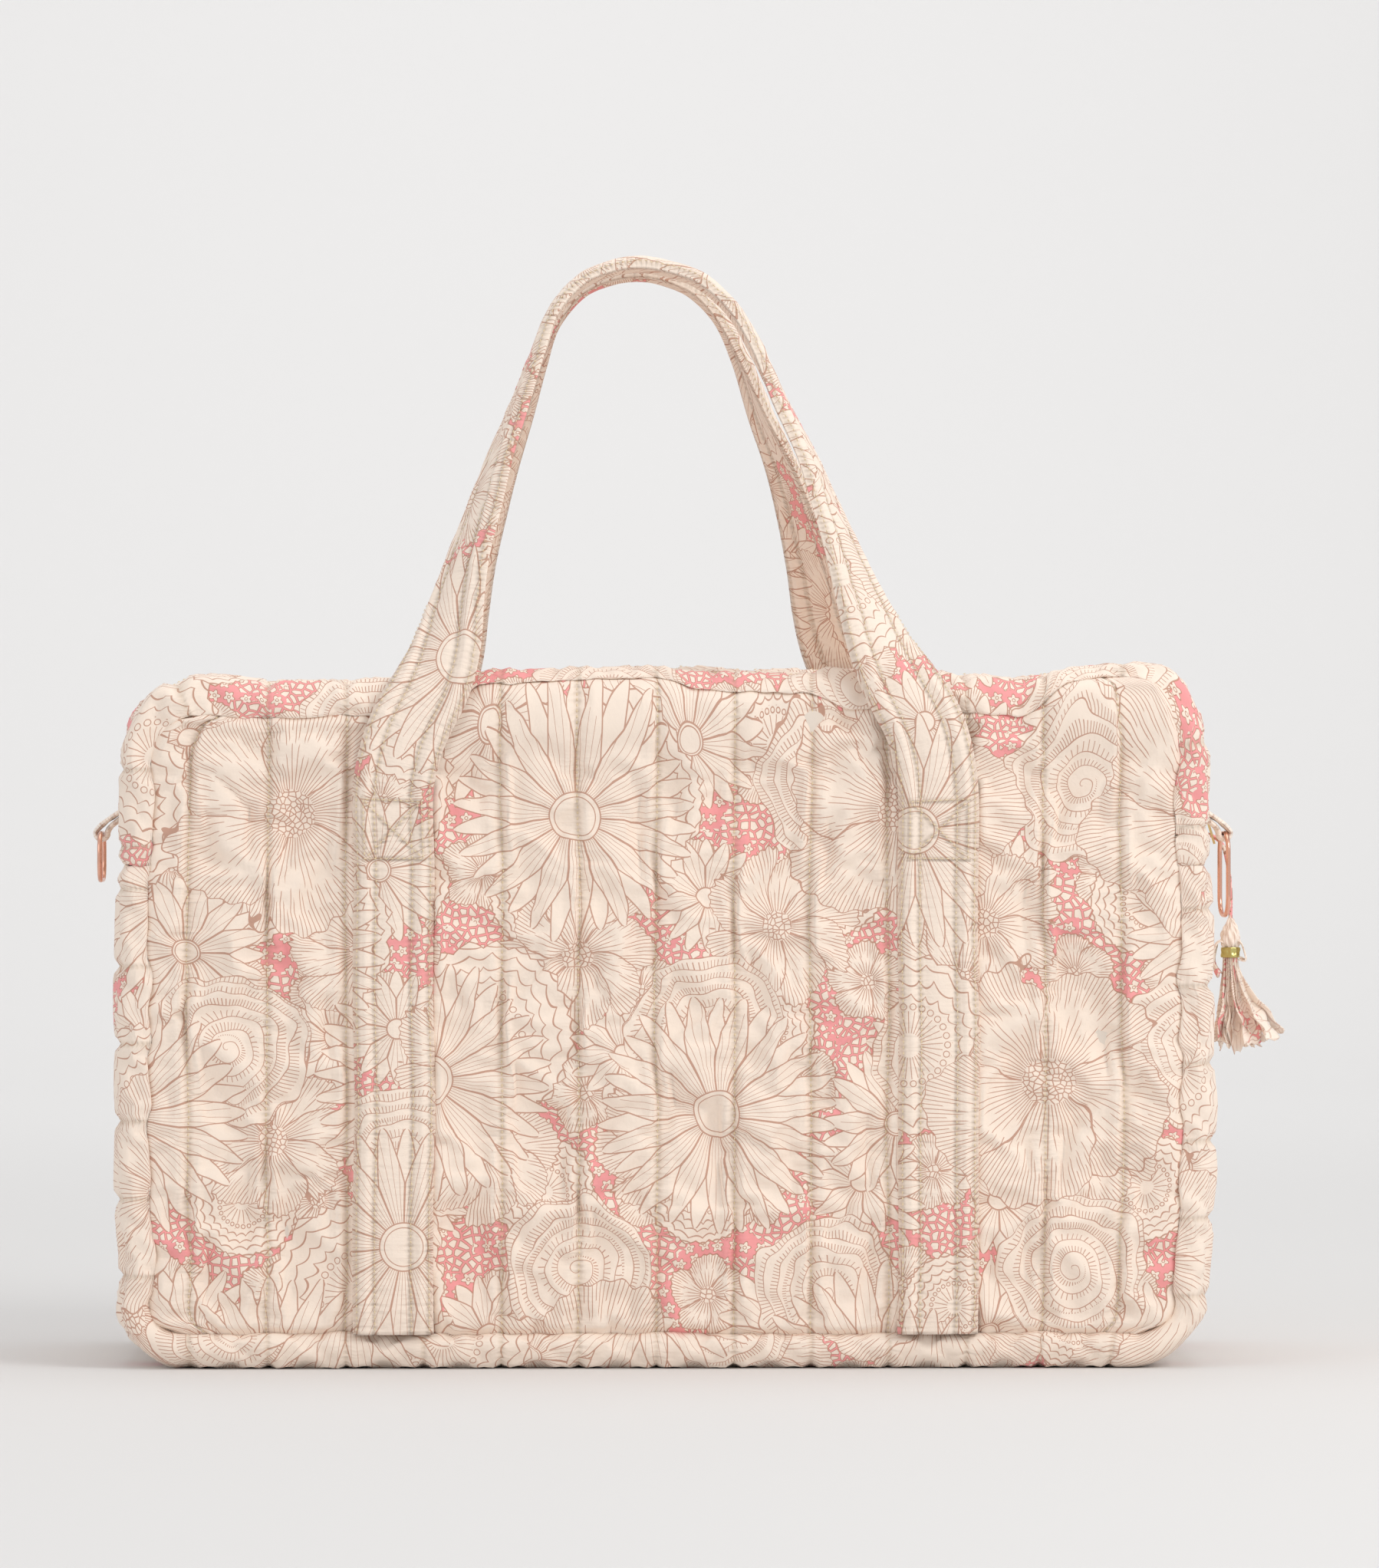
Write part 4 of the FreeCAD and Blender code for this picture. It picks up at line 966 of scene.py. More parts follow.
ROLL = [(-98.5, 0), (-102.8, 1.4), (-105.4, 5.6), (-105.2, 10.6), (-101.6, 14.8), (-95.0, 17.3), (-87, 18)]
FLOOR = [(-78, 18), (-66, 18), (-50, 18), (-32, 18), (-12, 18)]
SHOULDER = [(-78, 18.2), (-68, 18.5), (-55, 18.8), (-42, 19), (-31, 19.2), (-22, 19.3), (-15.5, 19.2)]
ZIP_HEM = [(-11, 18.8), (-8.4, 17.8), (-7.4, 15.8)]


def channel_distance(s, total, flip):
    """Distance to the nearest quilting line from a place along the gusset."""
    gap = np.abs((s - total / 2) * flip - FIRST_LINE + 400 * PITCH) % PITCH
    return np.minimum(gap, PITCH - gap)


def gusset(name, upward, profile, seed):
    """A strip of the gusset: outer and inner grids, cloth places, and length and width positions."""
    points, outward, along = outline(BAND_TOP, upward)
    if not upward:
        points, outward = points[::-1], outward[::-1]
    total = along[-1]
    flip = 1 if upward else -1
    lines = [total / 2 + flip * (FIRST_LINE + PITCH * k) for k in range(-20, 21)]
    rows = row_positions(0, total, sorted(lines), STEP)
    across, width = smooth_curve(profile, step=STEP)
    place = sample(points, along, rows)
    out = unit(sample(outward, along, rows))
    crown = SIDE_CROWN + (TOP_CROWN - SIDE_CROWN) * np.maximum(out[:, 1], 0) ** 2
    crown += (BASE_CROWN - SIDE_CROWN) * np.maximum(-out[:, 1], 0) ** 2
    depth = across[None, :, 1] / 18 * crown[:, None]
    s, v = np.meshgrid(rows, width, indexing="ij")
    gap = channel_distance(s, total, flip)
    free = smooth(0, 12, v) * smooth(0, 10, width[-1] - v)
    on_floor = (out[:, 1:2] < -0.6) & (np.abs(across[None, :, 0]) < 92)
    depth = depth - (GUSSET_RECESS + np.maximum(out[:, 1:2], 0)) * (gap < 0.1) * free * ~on_floor
    near_seam = 1 - smooth(0, 7, v)
    if not upward:
        near_seam = near_seam - (1 - smooth(0, 7, width[-1] - v))
    base = raised(place, out, across[None, :, 0] - seam_lift(place[:, 1:2]) * near_seam, depth)
    pinned = (gap < 0.1) | on_floor
    pinned[[0, -1]] = True
    pinned[:, [0, -1]] = True
    if upward:
        pinned[:, -2:] = True
    grid = simulate(name, base, pinned, 2.4, 0.04, 4.5)
    inner = finer(base - normals_of(base) * 5.5)
    grid = finer(grid)
    cloth = finer(np.stack([s, v], -1))
    out = finer(np.repeat(out[:, None], 3, axis=1))[:, 0]
    s, v = cloth[:, :, 0], cloth[:, :, 1]
    gap = channel_distance(s, total, flip)
    far = v if upward else np.minimum(v, width[-1] - v)
    side = smooth(0.6, 0.95, np.abs(out[:, 0]))[:, None]
    ripple = pucker(gap, v + np.round(s / PITCH) * 91, seed, 6.0, 0.5)
    ripple += 0.8 * noise(s / 6.5, far / 24, seed + 2) * bell(far - 4, 14)
    ripple += side * 1.0 * noise(s / 17, far / 9, seed + 4) * bell(far - 22, 16)
    ripple -= side * 2.0 * bell(far - 27 - 3 * noise(s / 38, 0.5, seed + 7), 4.5)
    ripple += 0.6 * noise(s / 24, v / 17, seed + 6)
    ripple *= smooth(0, 5, far)
    ripple -= 2.2 * bell(np.minimum(s - rows[0], rows[-1] - s), 3.5) * smooth(0, 6, far)
    if upward:
        ripple *= smooth(2, 12, width[-1] - v)
    floor = (grid[:, :, 2] < 1.5) & (np.abs(grid[:, :, 1]) < 94)
    grid = grid + normals_of(grid) * (ripple * ~floor)[:, :, None]
    grid[:, :, 2] = np.maximum(grid[:, :, 2], 0.15)
    return grid, inner, cloth


def flap_share(points):
    """How far a point near the zip follows its flap: 1 at mid zip, 0 at the corners and seams."""
    along = 1 - smooth(110, FLAP_X + 12, np.abs(points[:, 0]))
    across = 1 - smooth(FLAP_HINGE_Y - 28, FLAP_HINGE_Y + 8, np.abs(points[:, 1]))
    return along * across


def follow_flap(piece, share=None):
    """Bakes the piece's place into its mesh; the share of the flap that each point would follow is worked
    out but not used.
    """
    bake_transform(piece)
    if share is None:
        flat = np.empty(len(piece.data.vertices) * 3, np.float32)
        piece.data.vertices.foreach_get("co", flat)
        share = flap_share(flat.reshape(-1, 3) / MM)


for side, sign, seed, shift in (("front", -1, 11, 0), ("rear", 1, 23, 44 * PITCH)):
    grid, inner, cloth, lines = quilted_panel(side + "_panel", sign, seed)
    piece = slab(side + "_panel_quilt", grid, inner, cloth + (shift, 0), [QUILT, LINING])
    declare(piece, "bag", (side + "_panel", side + "_lining"))
    declare(stitch_mesh(side + "_panel_stitches", lines), "bag")

band_profile = ROLL + FLOOR + [(-y, depth) for y, depth in reversed(ROLL + FLOOR)]
grid, inner, cloth = gusset("band", False, band_profile, 41)
offset = (2 * FIRST_LINE - cloth[:, :, 0].max() / 2 + 30 * PITCH, 900)
piece = slab("gusset_band_quilt", settle(grid), settle(inner), cloth + offset, [EDGE_QUILT, LINING])
declare(piece, "bag", ("gusset_band", "gusset_lining"))

for side, seed, lines_away in (("front", 57, 60), ("rear", 71, 90)):
    grid, inner, cloth = gusset(side, True, ROLL + SHOULDER + ZIP_HEM, seed)
    thread_row = cloth.shape[1] - 6
    up = normals_of(grid)[:, thread_row]
    if side == "front":
        for layer in (grid, inner):
            drop = SAG * sag_window(layer[:, :, 0]) * smooth(300, 330, layer[:, :, 2])
            layer[:, :, 2] -= drop * (1 - smooth(-26, -9, layer[:, :, 1]))
    way = REAR if side == "rear" else 1
    grid, inner = settle(grid * way), settle(inner * way)
    offset = (lines_away * PITCH - cloth[:, :, 0].max() / 2, 40)
    piece = slab(side + "_shoulder_quilt", grid, inner, cloth + offset, [EDGE_QUILT, LINING])
    declare(piece, None, (side + "_zip_gusset", side + "_flap"))
    follow_flap(piece)
    stitches = stitch_mesh(side + "_zip_stitches", [(grid[:, thread_row], up * way)])
    declare(stitches)
    follow_flap(stitches)
# ---------------------------------------------------------------- straps and handles

# The front strap's centre line from the left foot to the right one: x, y, z and its turn in degrees.
STATIONS = [
    (-135.0, -108.6, 17.5, 0), (-135.2, -108.8, 70.0, 0), (-134.6, -108.8, 140.0, 0),
    (-135.3, -108.8, 205.0, 0), (-135.0, -109.6, 250.0, 0), (-135.0, -111.6, 284.0, 0),
    (-131.5, -112.4, 306.0, 0), (-125.5, -111.8, 323.0, 3), (-117.5, -109.5, 340.0, 10),
    (-112.0, -104.5, 357.0, 25), (-108.0, -95.0, 377.0, 45), (-102.1, -83.5, 401.0, 60),
    (-93.6, -72.0, 427.0, 68), (-84.7, -60.5, 454.0, 77), (-74.6, -49.0, 481.0, 83),
    (-65.8, -38.5, 506.0, 87), (-57.0, -30.5, 528.0, 90), (-43.0, -24.5, 545.0, 90),
    (-27.0, -21.8, 552.5, 90), (-11.0, -21.0, 554.5, 90), (5.5, -21.8, 551.5, 90),
    (21.0, -25.0, 544.5, 90), (36.0, -30.5, 530.0, 90), (48.5, -38.5, 508.0, 90),
    (60.3, -49.0, 481.0, 95), (73.4, -60.5, 454.0, 100), (83.5, -72.0, 427.0, 107),
    (93.5, -83.5, 401.0, 118), (102.3, -95.0, 377.0, 135), (109.8, -104.5, 357.0, 155),
    (117.5, -109.5, 340.0, 170), (126.5, -111.8, 323.0, 177), (132.0, -112.4, 306.0, 180),
    (135.0, -111.6, 284.0, 180), (135.0, -109.6, 250.0, 180), (134.7, -108.8, 205.0, 180),
    (135.3, -108.8, 140.0, 180), (134.8, -108.8, 70.0, 180), (135.0, -108.6, 17.5, 180),
]
APEX_X = -11.0
REAR_TURN_Z = (306, 323, 340, 357, 377, 401, 427, 454, 481, 506, 528)
REAR_TURN = (0, 4, 14, 27, 40, 52, 62, 70, 78, 85, 90)
STRAP_STEP = 2.2


def rear_stations():
    """The rear strap's centre line: closer together above the bag, as seen from its own side."""
    path = np.array(STATIONS, float)
    right = path[:, 0] > APEX_X
    narrow = np.where(right, 0.86 + 0.04 * smooth(370, 430, path[:, 2]), 1.0)
    path[:, 0] += smooth(HINGE_Z, 370, path[:, 2]) * (narrow - 1) * (path[:, 0] - APEX_X)
    turn = np.interp(path[:, 2], REAR_TURN_Z, REAR_TURN)
    path[:, 3] = np.where(right, 180 - turn, turn)
    path[:, 2] -= 1.8 * smooth(400, 550, path[:, 2])
    path = path[::-1]
    path[:, 0] *= -1
    path[:, 3] = 180 - path[:, 3]
    return path


def strap_shape(stations, seed):
    """The strap from foot to foot over the hand: outer and inner grids, cloth places, its rows."""
    path, along = smooth_curve(stations, step=STRAP_STEP)
    centre, turn = path[:, :3], np.radians(path[:, 3])
    way = unit(np.gradient(centre, axis=0))
    width = np.stack([np.cos(turn), -np.sin(turn), 0 * turn], -1)
    width = unit(width - way * np.sum(width * way, axis=1, keepdims=True))
    out = np.cross(width, way)
    span = row_positions(-STRAP_WIDTH / 2, STRAP_WIDTH / 2, list(STRAP_ROWS), 1.6)
    s, w = np.meshgrid(along, span, indexing="ij")
    to_rows = np.abs(w[:, :, None] - np.array(STRAP_ROWS))
    gap, row = to_rows.min(axis=2), to_rows.argmin(axis=2)
    edge = STRAP_WIDTH / 2 - np.abs(w)
    puff = 1.5 * (1 - bell(gap, 2.6)) * smooth(0, 1.6, edge) + 0.4
    ripple = 0.42 * noise(s / 3.4 + row * 31, gap / 14, seed) * bell(gap, 4.5)
    ripple += 0.3 * noise(s / 6.5, w / 6, seed + 2) + 0.35 * noise(s / 31, w / 19, seed + 4)
    free = smooth(HINGE_Z, HINGE_Z + 60, centre[:, 2])[:, None]
    sewn = 1 - smooth(HINGE_Z - 4, HINGE_Z + 8, centre[:, 2])[:, None]
    curl = 3.2 * free * (w / 20) ** 2 + 1.3 * sewn * (w / 20) ** 8
    swell = 1.15 * bell(np.abs(w) - 14.3, 4.5)
    foot = smooth(16, 30, centre[:, 2])[:, None]
    bulge = (0.9 + puff + ripple + swell) * (0.25 + 0.75 * foot)
    back = (0.9 + puff * 0.7 + 0.5 * swell) * (0.25 + 0.75 * foot)
    round_edge = np.sqrt(np.clip(edge / 1.6, 0, 1))
    bulge, back = bulge * (0.25 + 0.75 * round_edge), back * (0.25 + 0.75 * round_edge)
    back = back + 3.2 * sewn * smooth(10, 19, np.abs(w))  # down into the panel, so that no gap shows
    sway = 0.8 * noise(s / 55, 3.3, seed + 6)
    base = centre[:, None] + width[:, None] * (w + sway)[:, :, None] - out[:, None] * curl[:, :, None]
    outer = base + out[:, None] * bulge[:, :, None]
    inner = base - out[:, None] * back[:, :, None]
    cloth = np.stack([w, s], -1)
    picks = [int(np.argmin(np.abs(span - row))) for row in STRAP_ROWS]
    return outer, inner, cloth, picks, out


def box_stitch_lines(outer, up, cloth, middle, half=BOX_HALF):
    """The crossed square of stitches on the strap's face about one place along it."""
    path = [(-half, -half), (half, -half), (half, half), (-half, half), (-half, -half), (half, half)]
    paths = [path, [(half, -half), (-half, half)]]
    found = []
    w_at, s_at = cloth[0, :, 0], cloth[:, 0, 1]
    for corners in paths:
        track, _ = resample(corners, step=1.0)
        i = np.clip(np.interp(track[:, 1] + middle, s_at, np.arange(len(s_at))), 0, len(s_at) - 1.001)
        j = np.clip(np.interp(track[:, 0], w_at, np.arange(len(w_at))), 0, len(w_at) - 1.001)
        i0, j0 = i.astype(int), j.astype(int)
        fi, fj = (i - i0)[:, None], (j - j0)[:, None]
        points = (outer[i0, j0] * (1 - fi) + outer[i0 + 1, j0] * fi) * (1 - fj)
        points += (outer[i0, j0 + 1] * (1 - fi) + outer[i0 + 1, j0 + 1] * fi) * fj
        found.append((points, up[i0]))
    return found


for side, seed, shift in (("front", 91, (19.0, 83.0)), ("rear", 107, (262.0, 640.0))):
    stations = STATIONS if side == "front" else rear_stations()
    outer, inner, cloth, picks, up = strap_shape(stations, seed)
    places = cloth[:, 0, 1]
    climbing = outer[: len(outer) // 2, 0, 2]
    first_box = places[int(np.argmin(np.abs(climbing - BOX_Z)))]
    boxes = (first_box, places[-1] - first_box)
    lines = [(outer[:, k], up) for k in picks]
    for middle in boxes:
        lines += box_stitch_lines(outer, up, cloth, middle)
    sign = -1 if side == "front" else 1
    if side == "rear":
        outer, inner = outer * REAR, inner * REAR
        lines = [(points * REAR, normal * REAR) for points, normal in lines]

    def gap_of(across, along):
        return strap_gap(across, along, boxes)

    padded = print_material("print_strap_" + side, shift, gap_of=gap_of, depth=1.3)
    piece = slab(side + "_strap_padded", outer, inner, cloth, [padded, padded])
    stitches = stitch_mesh(side + "_strap_stitches", lines, 0.4)
    sewn = (side + "_left_strap", side + "_right_strap", side + "_handle")
    declare(piece, None, sewn)
    declare(stitches, None, (side + "_box_stitching",))
    low, high = ((0, sign * 0.112, (HINGE_Z + rise) * MM) for rise in (-6, 12))
    for item in (piece, stitches):
        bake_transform(item)

# ---------------------------------------------------------------- zip

ZIP_Z = (box_mm("front_flap_teeth")[0][2] + box_mm("front_flap_teeth")[1][2]) / 2
ZIP_X = 268.5
ZIP_CORNER = 40.5
TAPE_FOOT = BAND_TOP - 4  # both ends of the tape are sewn into the side seams
STOP_Z = box_mm("left_zip_stop")[1][2]
SLIDER_LOW = box_mm("zip_slider")[0]


def zip_path():
    """The zip's line in XZ from one foot of the tape over the top to the other."""
    x, z = ZIP_X - ZIP_CORNER, ZIP_Z - ZIP_CORNER
    corners = [(-ZIP_X, TAPE_FOOT), *arc(-x, z, ZIP_CORNER, 180, 90, 16)]
    corners += [*arc(x, z, ZIP_CORNER, 90, 0, 16), (ZIP_X, TAPE_FOOT)]
    points, along = resample(corners, step=1.0)
    way = unit(np.gradient(points, axis=0))
    return points, way, np.stack([-way[:, 1], way[:, 0]], -1), along


TOOTH = [  # a tooth's outline in plan: along the chain, then out from its tape
    (-0.55, -2.7), (0.55, -2.7), (0.62, -0.6), (1.0, 0.0),
    (0.85, 0.8), (-0.85, 0.8), (-1.0, 0.0), (-0.62, -0.6),
]
TOOTH_HEIGHT = 2.3
TOOTH_PITCH = 3.0


def zip_teeth(name, sign, low, high):
    """One side's teeth between two places along the chain; sign is -1 at the front."""
    points, way, out, along = zip_path()
    shift = 0 if sign < 0 else TOOTH_PITCH / 2
    middles = np.arange(math.ceil(low / TOOTH_PITCH) * TOOTH_PITCH + shift, high, TOOTH_PITCH)
    place, forward, up = (sample(values, along, middles) for values in (points, way, out))
    plan = np.array(TOOTH)
    rings = []
    for height, shrink in ((-0.5, 0.8), (-0.36, 1.0), (0.32, 1.0), (0.5, 0.72)):
        rings.append((plan * shrink, height * TOOTH_HEIGHT))
    count, corners = len(middles), len(plan)
    tooth = []
    for outline_points, height in rings:
        centre = place[:, None] + forward[:, None] * outline_points[None, :, 0:1] + up[:, None] * height
        across = np.broadcast_to(-sign * outline_points[None, :, 1], centre.shape[:2])
        tooth.append(np.stack([centre[:, :, 0], across, centre[:, :, 1]], -1))
    vertices = settle(np.stack(tooth, 1).reshape(-1, 3))
    ring = np.arange(corners)
    following = np.roll(ring, -1)
    faces = [np.stack([ring + corners * k, following + corners * k, following + corners * (k + 1),
                       ring + corners * (k + 1)], -1) for k in range(3)]
    cap = 3 * corners
    faces.append(np.array([[0, 1, 2, 7], [7, 2, 3, 6], [6, 3, 4, 5]]) + cap)
    faces.append(np.array([[7, 2, 1, 0], [6, 3, 2, 7], [5, 4, 3, 6]]))
    faces = np.concatenate(faces)
    if sign > 0:
        faces = faces[:, ::-1]
    base = np.arange(count)[:, None, None] * 4 * corners
    piece = make_piece(name, vertices, (faces[None] + base).reshape(-1, 4), None, [TEETH])
    share = np.repeat(flap_share(np.stack([place[:, 0], 0 * middles, place[:, 1]], -1)), 4 * corners)
    return piece, share


def zip_tape(name, sign, low, high):
    """One side's woven tape, from beside the teeth to under the hem."""
    points, _, out, along = zip_path()
    middles = np.linspace(low, high, max(2, int((high - low) / 2)))
    place, up = sample(points, along, middles), sample(out, along, middles)
    before = smooth(chain_start, chain_start - 3, middles)
    tail = np.maximum(before, smooth(chain_end, chain_end + 3, middles))
    inner = 1.5 - 1.4 * tail  # the two tapes lie edge to edge beyond the chain
    across = inner[:, None] + (10.5 - inner[:, None]) * np.linspace(0, 1, 7)
    layers = []
    for height in (0.4, -0.4):
        grid = raised(place, up, sign * across, height - 1.1 * smooth(4.5, 8.0, across))
        layers.append(settle(grid if sign > 0 else grid[:, ::-1]))
    return slab(name, *layers, np.zeros((*across.shape, 2)), [TAPE, TAPE])


chain_points, _, _, chain_along = zip_path()
mouth_low = float(np.interp(-FLAP_X, chain_points[:, 0], chain_along))
mouth_high = float(np.interp(FLAP_X, chain_points[:, 0], chain_along))
chain_start = STOP_Z - TAPE_FOOT
chain_end = chain_along[-1] - (SLIDER_LOW[2] + 2 - TAPE_FOOT)
for side, sign in (("front", -1), ("rear", 1)):
    teeth, share = zip_teeth(side + "_mouth_teeth", sign, mouth_low, mouth_high)
    tape = zip_tape(side + "_mouth_tape", sign, mouth_low, mouth_high)
    follow_flap(teeth, share)
    follow_flap(tape)
    declare(teeth, None, (side + "_flap_teeth",))
    declare(tape, None, (side + "_flap_tape",))
for end, low, high in (("left", 0, mouth_low), ("right", mouth_high, chain_along[-1])):
    for side, sign in (("front", -1), ("rear", 1)):
        first, last = max(low, chain_start), min(high, chain_end)
        teeth, _ = zip_teeth(end + "_end_teeth_" + side, sign, first, last)
        tape = zip_tape(end + "_end_tape_" + side, sign, low, high)
        declare(teeth, "bag", (end + "_zip_run",))
        declare(tape, "bag", (end + "_zip_tape",))

METAL = (
    ("left_zip_stop", "stop"), ("right_zip_stop", "stop"), ("zip_slider", "slider"), ("zip_pull", "slider"),
)
for node, kind in METAL:  # a hard CAD node keeps its own shape and takes a finish
    thing = frame["nodes"][node]
    thing.data.materials.clear()
    thing.data.materials.append(BRASS)

# ---------------------------------------------------------------- rings and tabs


def closed_tube(name, path, radius, material, sides=14):
    """A round wire along a closed path in millimetres."""
    way = unit(np.roll(path, -1, 0) - np.roll(path, 1, 0))
    flat = np.linalg.svd(path - path.mean(0))[2][2]
    first = unit(np.cross(way, flat))
    second = np.cross(way, first)
    angle = np.linspace(0, TWO_PI, sides, endpoint=False)[:, None]
    points = path[:, None] + radius * (first[:, None] * np.cos(angle) + second[:, None] * np.sin(angle))
    start = np.arange(sides)
    last = start + (len(path) - 1) * sides
    link = np.stack([last, start, np.roll(start, -1), np.roll(last, -1)], -1)
    faces = np.concatenate([grid_faces(len(path), sides, wrap=True), link])
    return make_piece(name, points.reshape(-1, 3), faces[:, ::-1], None, [material])


def ring_path(node, hinge, turn):
    """The oval ring's centre line from its CAD box, turned a little, with the wire's radius."""
    low, high = box_mm(node)
    wire = high[0] - low[0]
    x, y, z = (low + high) / 2
    half_y, half_z = (high[1:] - low[1:] - wire) / 2
    loop = rounded_loop(y, z, half_y, half_z, min(half_y, half_z) * 0.8, 12)
    path, _ = resample([(x, *point) for point in loop], step=1.2)
    path[:, 0] -= (path[:, 1] - hinge[1]) * turn
    return path[:-1], wire / 2


def fabric_tab(name, node, sign, offset):
    """A strip of print folded over the ring's top wire and sewn into the seam."""
    low, high = box_mm(node)
    wire = joint_mm("left_ring_swing" if sign < 0 else "right_ring_swing")
    x, z, top = abs(wire[0]), wire[2], high[2]
    outside = [(x - 19.0, top + 0.6), (x - 12.5, top - 1.2), (x - 5.5, top - 5.2), (x - 0.4, z + 4.4)]
    loop = [(x + 2.9 * math.cos(a), z + 2.9 * math.sin(a)) for a in np.linspace(0.4, -3.3, 12)]
    back = [(x - 4.2, z + 3.0), (x - 8.0, z + 6.2), (x - 13.0, top - 3.6), (x - 19.0, top - 1.6)]
    path, along = smooth_curve(outside + loop + back, step=0.8)
    way = unit(np.gradient(path, axis=0))
    out = np.stack([-way[:, 1], way[:, 0]], -1)
    span = np.linspace(low[1], high[1], 13)
    s, y = np.meshgrid(along, span, indexing="ij")
    rim = np.minimum(y - low[1], high[1] - y)
    lift = 1.35 * np.sqrt(np.clip(rim / 1.6, 0, 1)) + 0.25 * noise(s / 3, y / 3, 5)
    lift = lift - 0.35 * bell(rim - 2.2, 0.7)
    layers = []
    for side in (1, -0.9):
        grid = raised(path, out, y, lift * side) * (sign, 1, 1)
        layers.append(grid if sign > 0 else grid[:, ::-1])
    cloth = np.stack([y, s], -1) + (offset, 20)
    piece = slab(name, *layers, cloth, [STRIP_PRINT, STRIP_PRINT])
    declare(piece, "bag", (node,))
    return piece


for end, sign, offset, turn in (("left", -1, 5100, 0.0), ("right", 1, 5160, 0.10)):
    path, radius = ring_path(end + "_ring", joint_mm(end + "_ring_swing"), turn)
    ring = closed_tube(end + "_ring_wire", path, radius, ROSE_GOLD)
    declare(ring, end + "_oval_ring", (end + "_ring",))
    fabric_tab(end + "_ring_loop", end + "_ring_tab", sign, offset)

# ---------------------------------------------------------------- cord and tassel

CORD_Y = joint_mm("tassel_swing")[1]
CORD_ROUTE = [(277.9, 264.9), (285.5, 262.9), (288.9, 249.5), (290.2, 235.2), (290.0, 221.9)]
CORD_IN_KNOT = [(290.0, 213.0), (290.0, 204.5)]  # the cord runs on through the knot to the band
CORD_DIAMETER = 2.0
cord_curve = bpy.data.curves.new("pull_cord_rolled", "CURVE")
cord_curve.dimensions = "3D"
cord_curve.bevel_depth = CORD_DIAMETER / 2 * MM
cord_curve.bevel_resolution = 4
cord_curve.use_fill_caps = True
cord_curve.resolution_u = 24
spline = cord_curve.splines.new("NURBS")
cord_points = CORD_ROUTE + CORD_IN_KNOT
spline.points.add(len(cord_points) - 1)
for point, (x, z) in zip(spline.points, cord_points):
    point.co = (x * MM, CORD_Y * MM, z * MM, 1)
spline.order_u = 3
spline.use_endpoint_u = True
cord_curve.materials.append(CORD_PRINT)
cord_piece = bpy.data.objects.new("pull_cord_rolled", cord_curve)
bpy.context.scene.collection.objects.link(cord_piece)
declare(cord_piece, "cord", ("pull_cord",))

band_box = box_mm("tassel_band")
TASSEL_X = (band_box[0][0] + band_box[1][0]) / 2
BAND_LOW, BAND_HIGH = band_box[0][2], band_box[1][2]
BAND_RADIUS = (band_box[1][0] - band_box[0][0]) / 2
HEAD_TOP = box_mm("tassel_head")[1][2]


def round_body(name, outline_points, wobble, material, offset):
    """A lumpy turned shape about the tassel's axis, from (radius, z) points."""
    profile, along = smooth_curve(outline_points, step=0.45)
    s, a = np.meshgrid(along, np.linspace(0, TWO_PI, 65), indexing="ij")
    radius = profile[:, :1] + wobble(s, a, profile[:, :1])
    radius[:, -1] = radius[:, 0]
    x, y = TASSEL_X + radius * np.cos(a), CORD_Y + radius * np.sin(a)
    points = np.stack([x, y, np.broadcast_to(profile[:, 1:], a.shape)], -1)
    cloth = np.stack([a * 5 + offset, s], -1)
    return make_piece(name, points.reshape(-1, 3), grid_faces(*s.shape), cloth.reshape(-1, 2), [material])


def head_wobble(s, a, radius):
    body = smooth(0, 2.5, radius)
    ridge = 0.55 * np.sin(5 * a + 0.55 * s) + 0.35 * np.sin(9 * a - 0.8 * s + 1.3)
    return body * (ridge + 0.3 * np.sin(2 * a + 0.4 * s))


head_outline = [
    (0.01, HEAD_TOP + 1.4), (0.9, HEAD_TOP + 1.3), (1.5, HEAD_TOP + 0.2), (2.3, HEAD_TOP - 2.2),
    (3.9, HEAD_TOP - 5.2), (4.9, HEAD_TOP - 8.6), (4.8, HEAD_TOP - 11.4), (3.9, BAND_HIGH + 0.6),
    (3.4, BAND_HIGH - 0.6), (0.01, BAND_HIGH - 1.0),
]
head = round_body("tassel_knot", head_outline, head_wobble, STRIP_PRINT, 5400)
declare(head, "tassel", ("tassel_head",))


def band_wobble(s, a, _radius):
    crimp = 0.22 * np.sin(11 * a + 0.4) * np.sin(math.pi * np.clip(s / (BAND_HIGH - BAND_LOW), 0, 1))
    return crimp + 0.15 * np.sin(3 * a + s)


band_outline = [
    (BAND_RADIUS - 0.7, BAND_HIGH + 0.2), (BAND_RADIUS - 0.1, BAND_HIGH), (BAND_RADIUS, BAND_HIGH - 1.2),
    (BAND_RADIUS - 0.25, (BAND_LOW + BAND_HIGH) / 2), (BAND_RADIUS, BAND_LOW + 1.2),
    (BAND_RADIUS - 0.1, BAND_LOW), (BAND_RADIUS - 0.9, BAND_LOW - 0.2),
]
band = round_body("tassel_foil_band", band_outline, band_wobble, FOIL, 0)
declare(band, "tassel", ("tassel_band",))


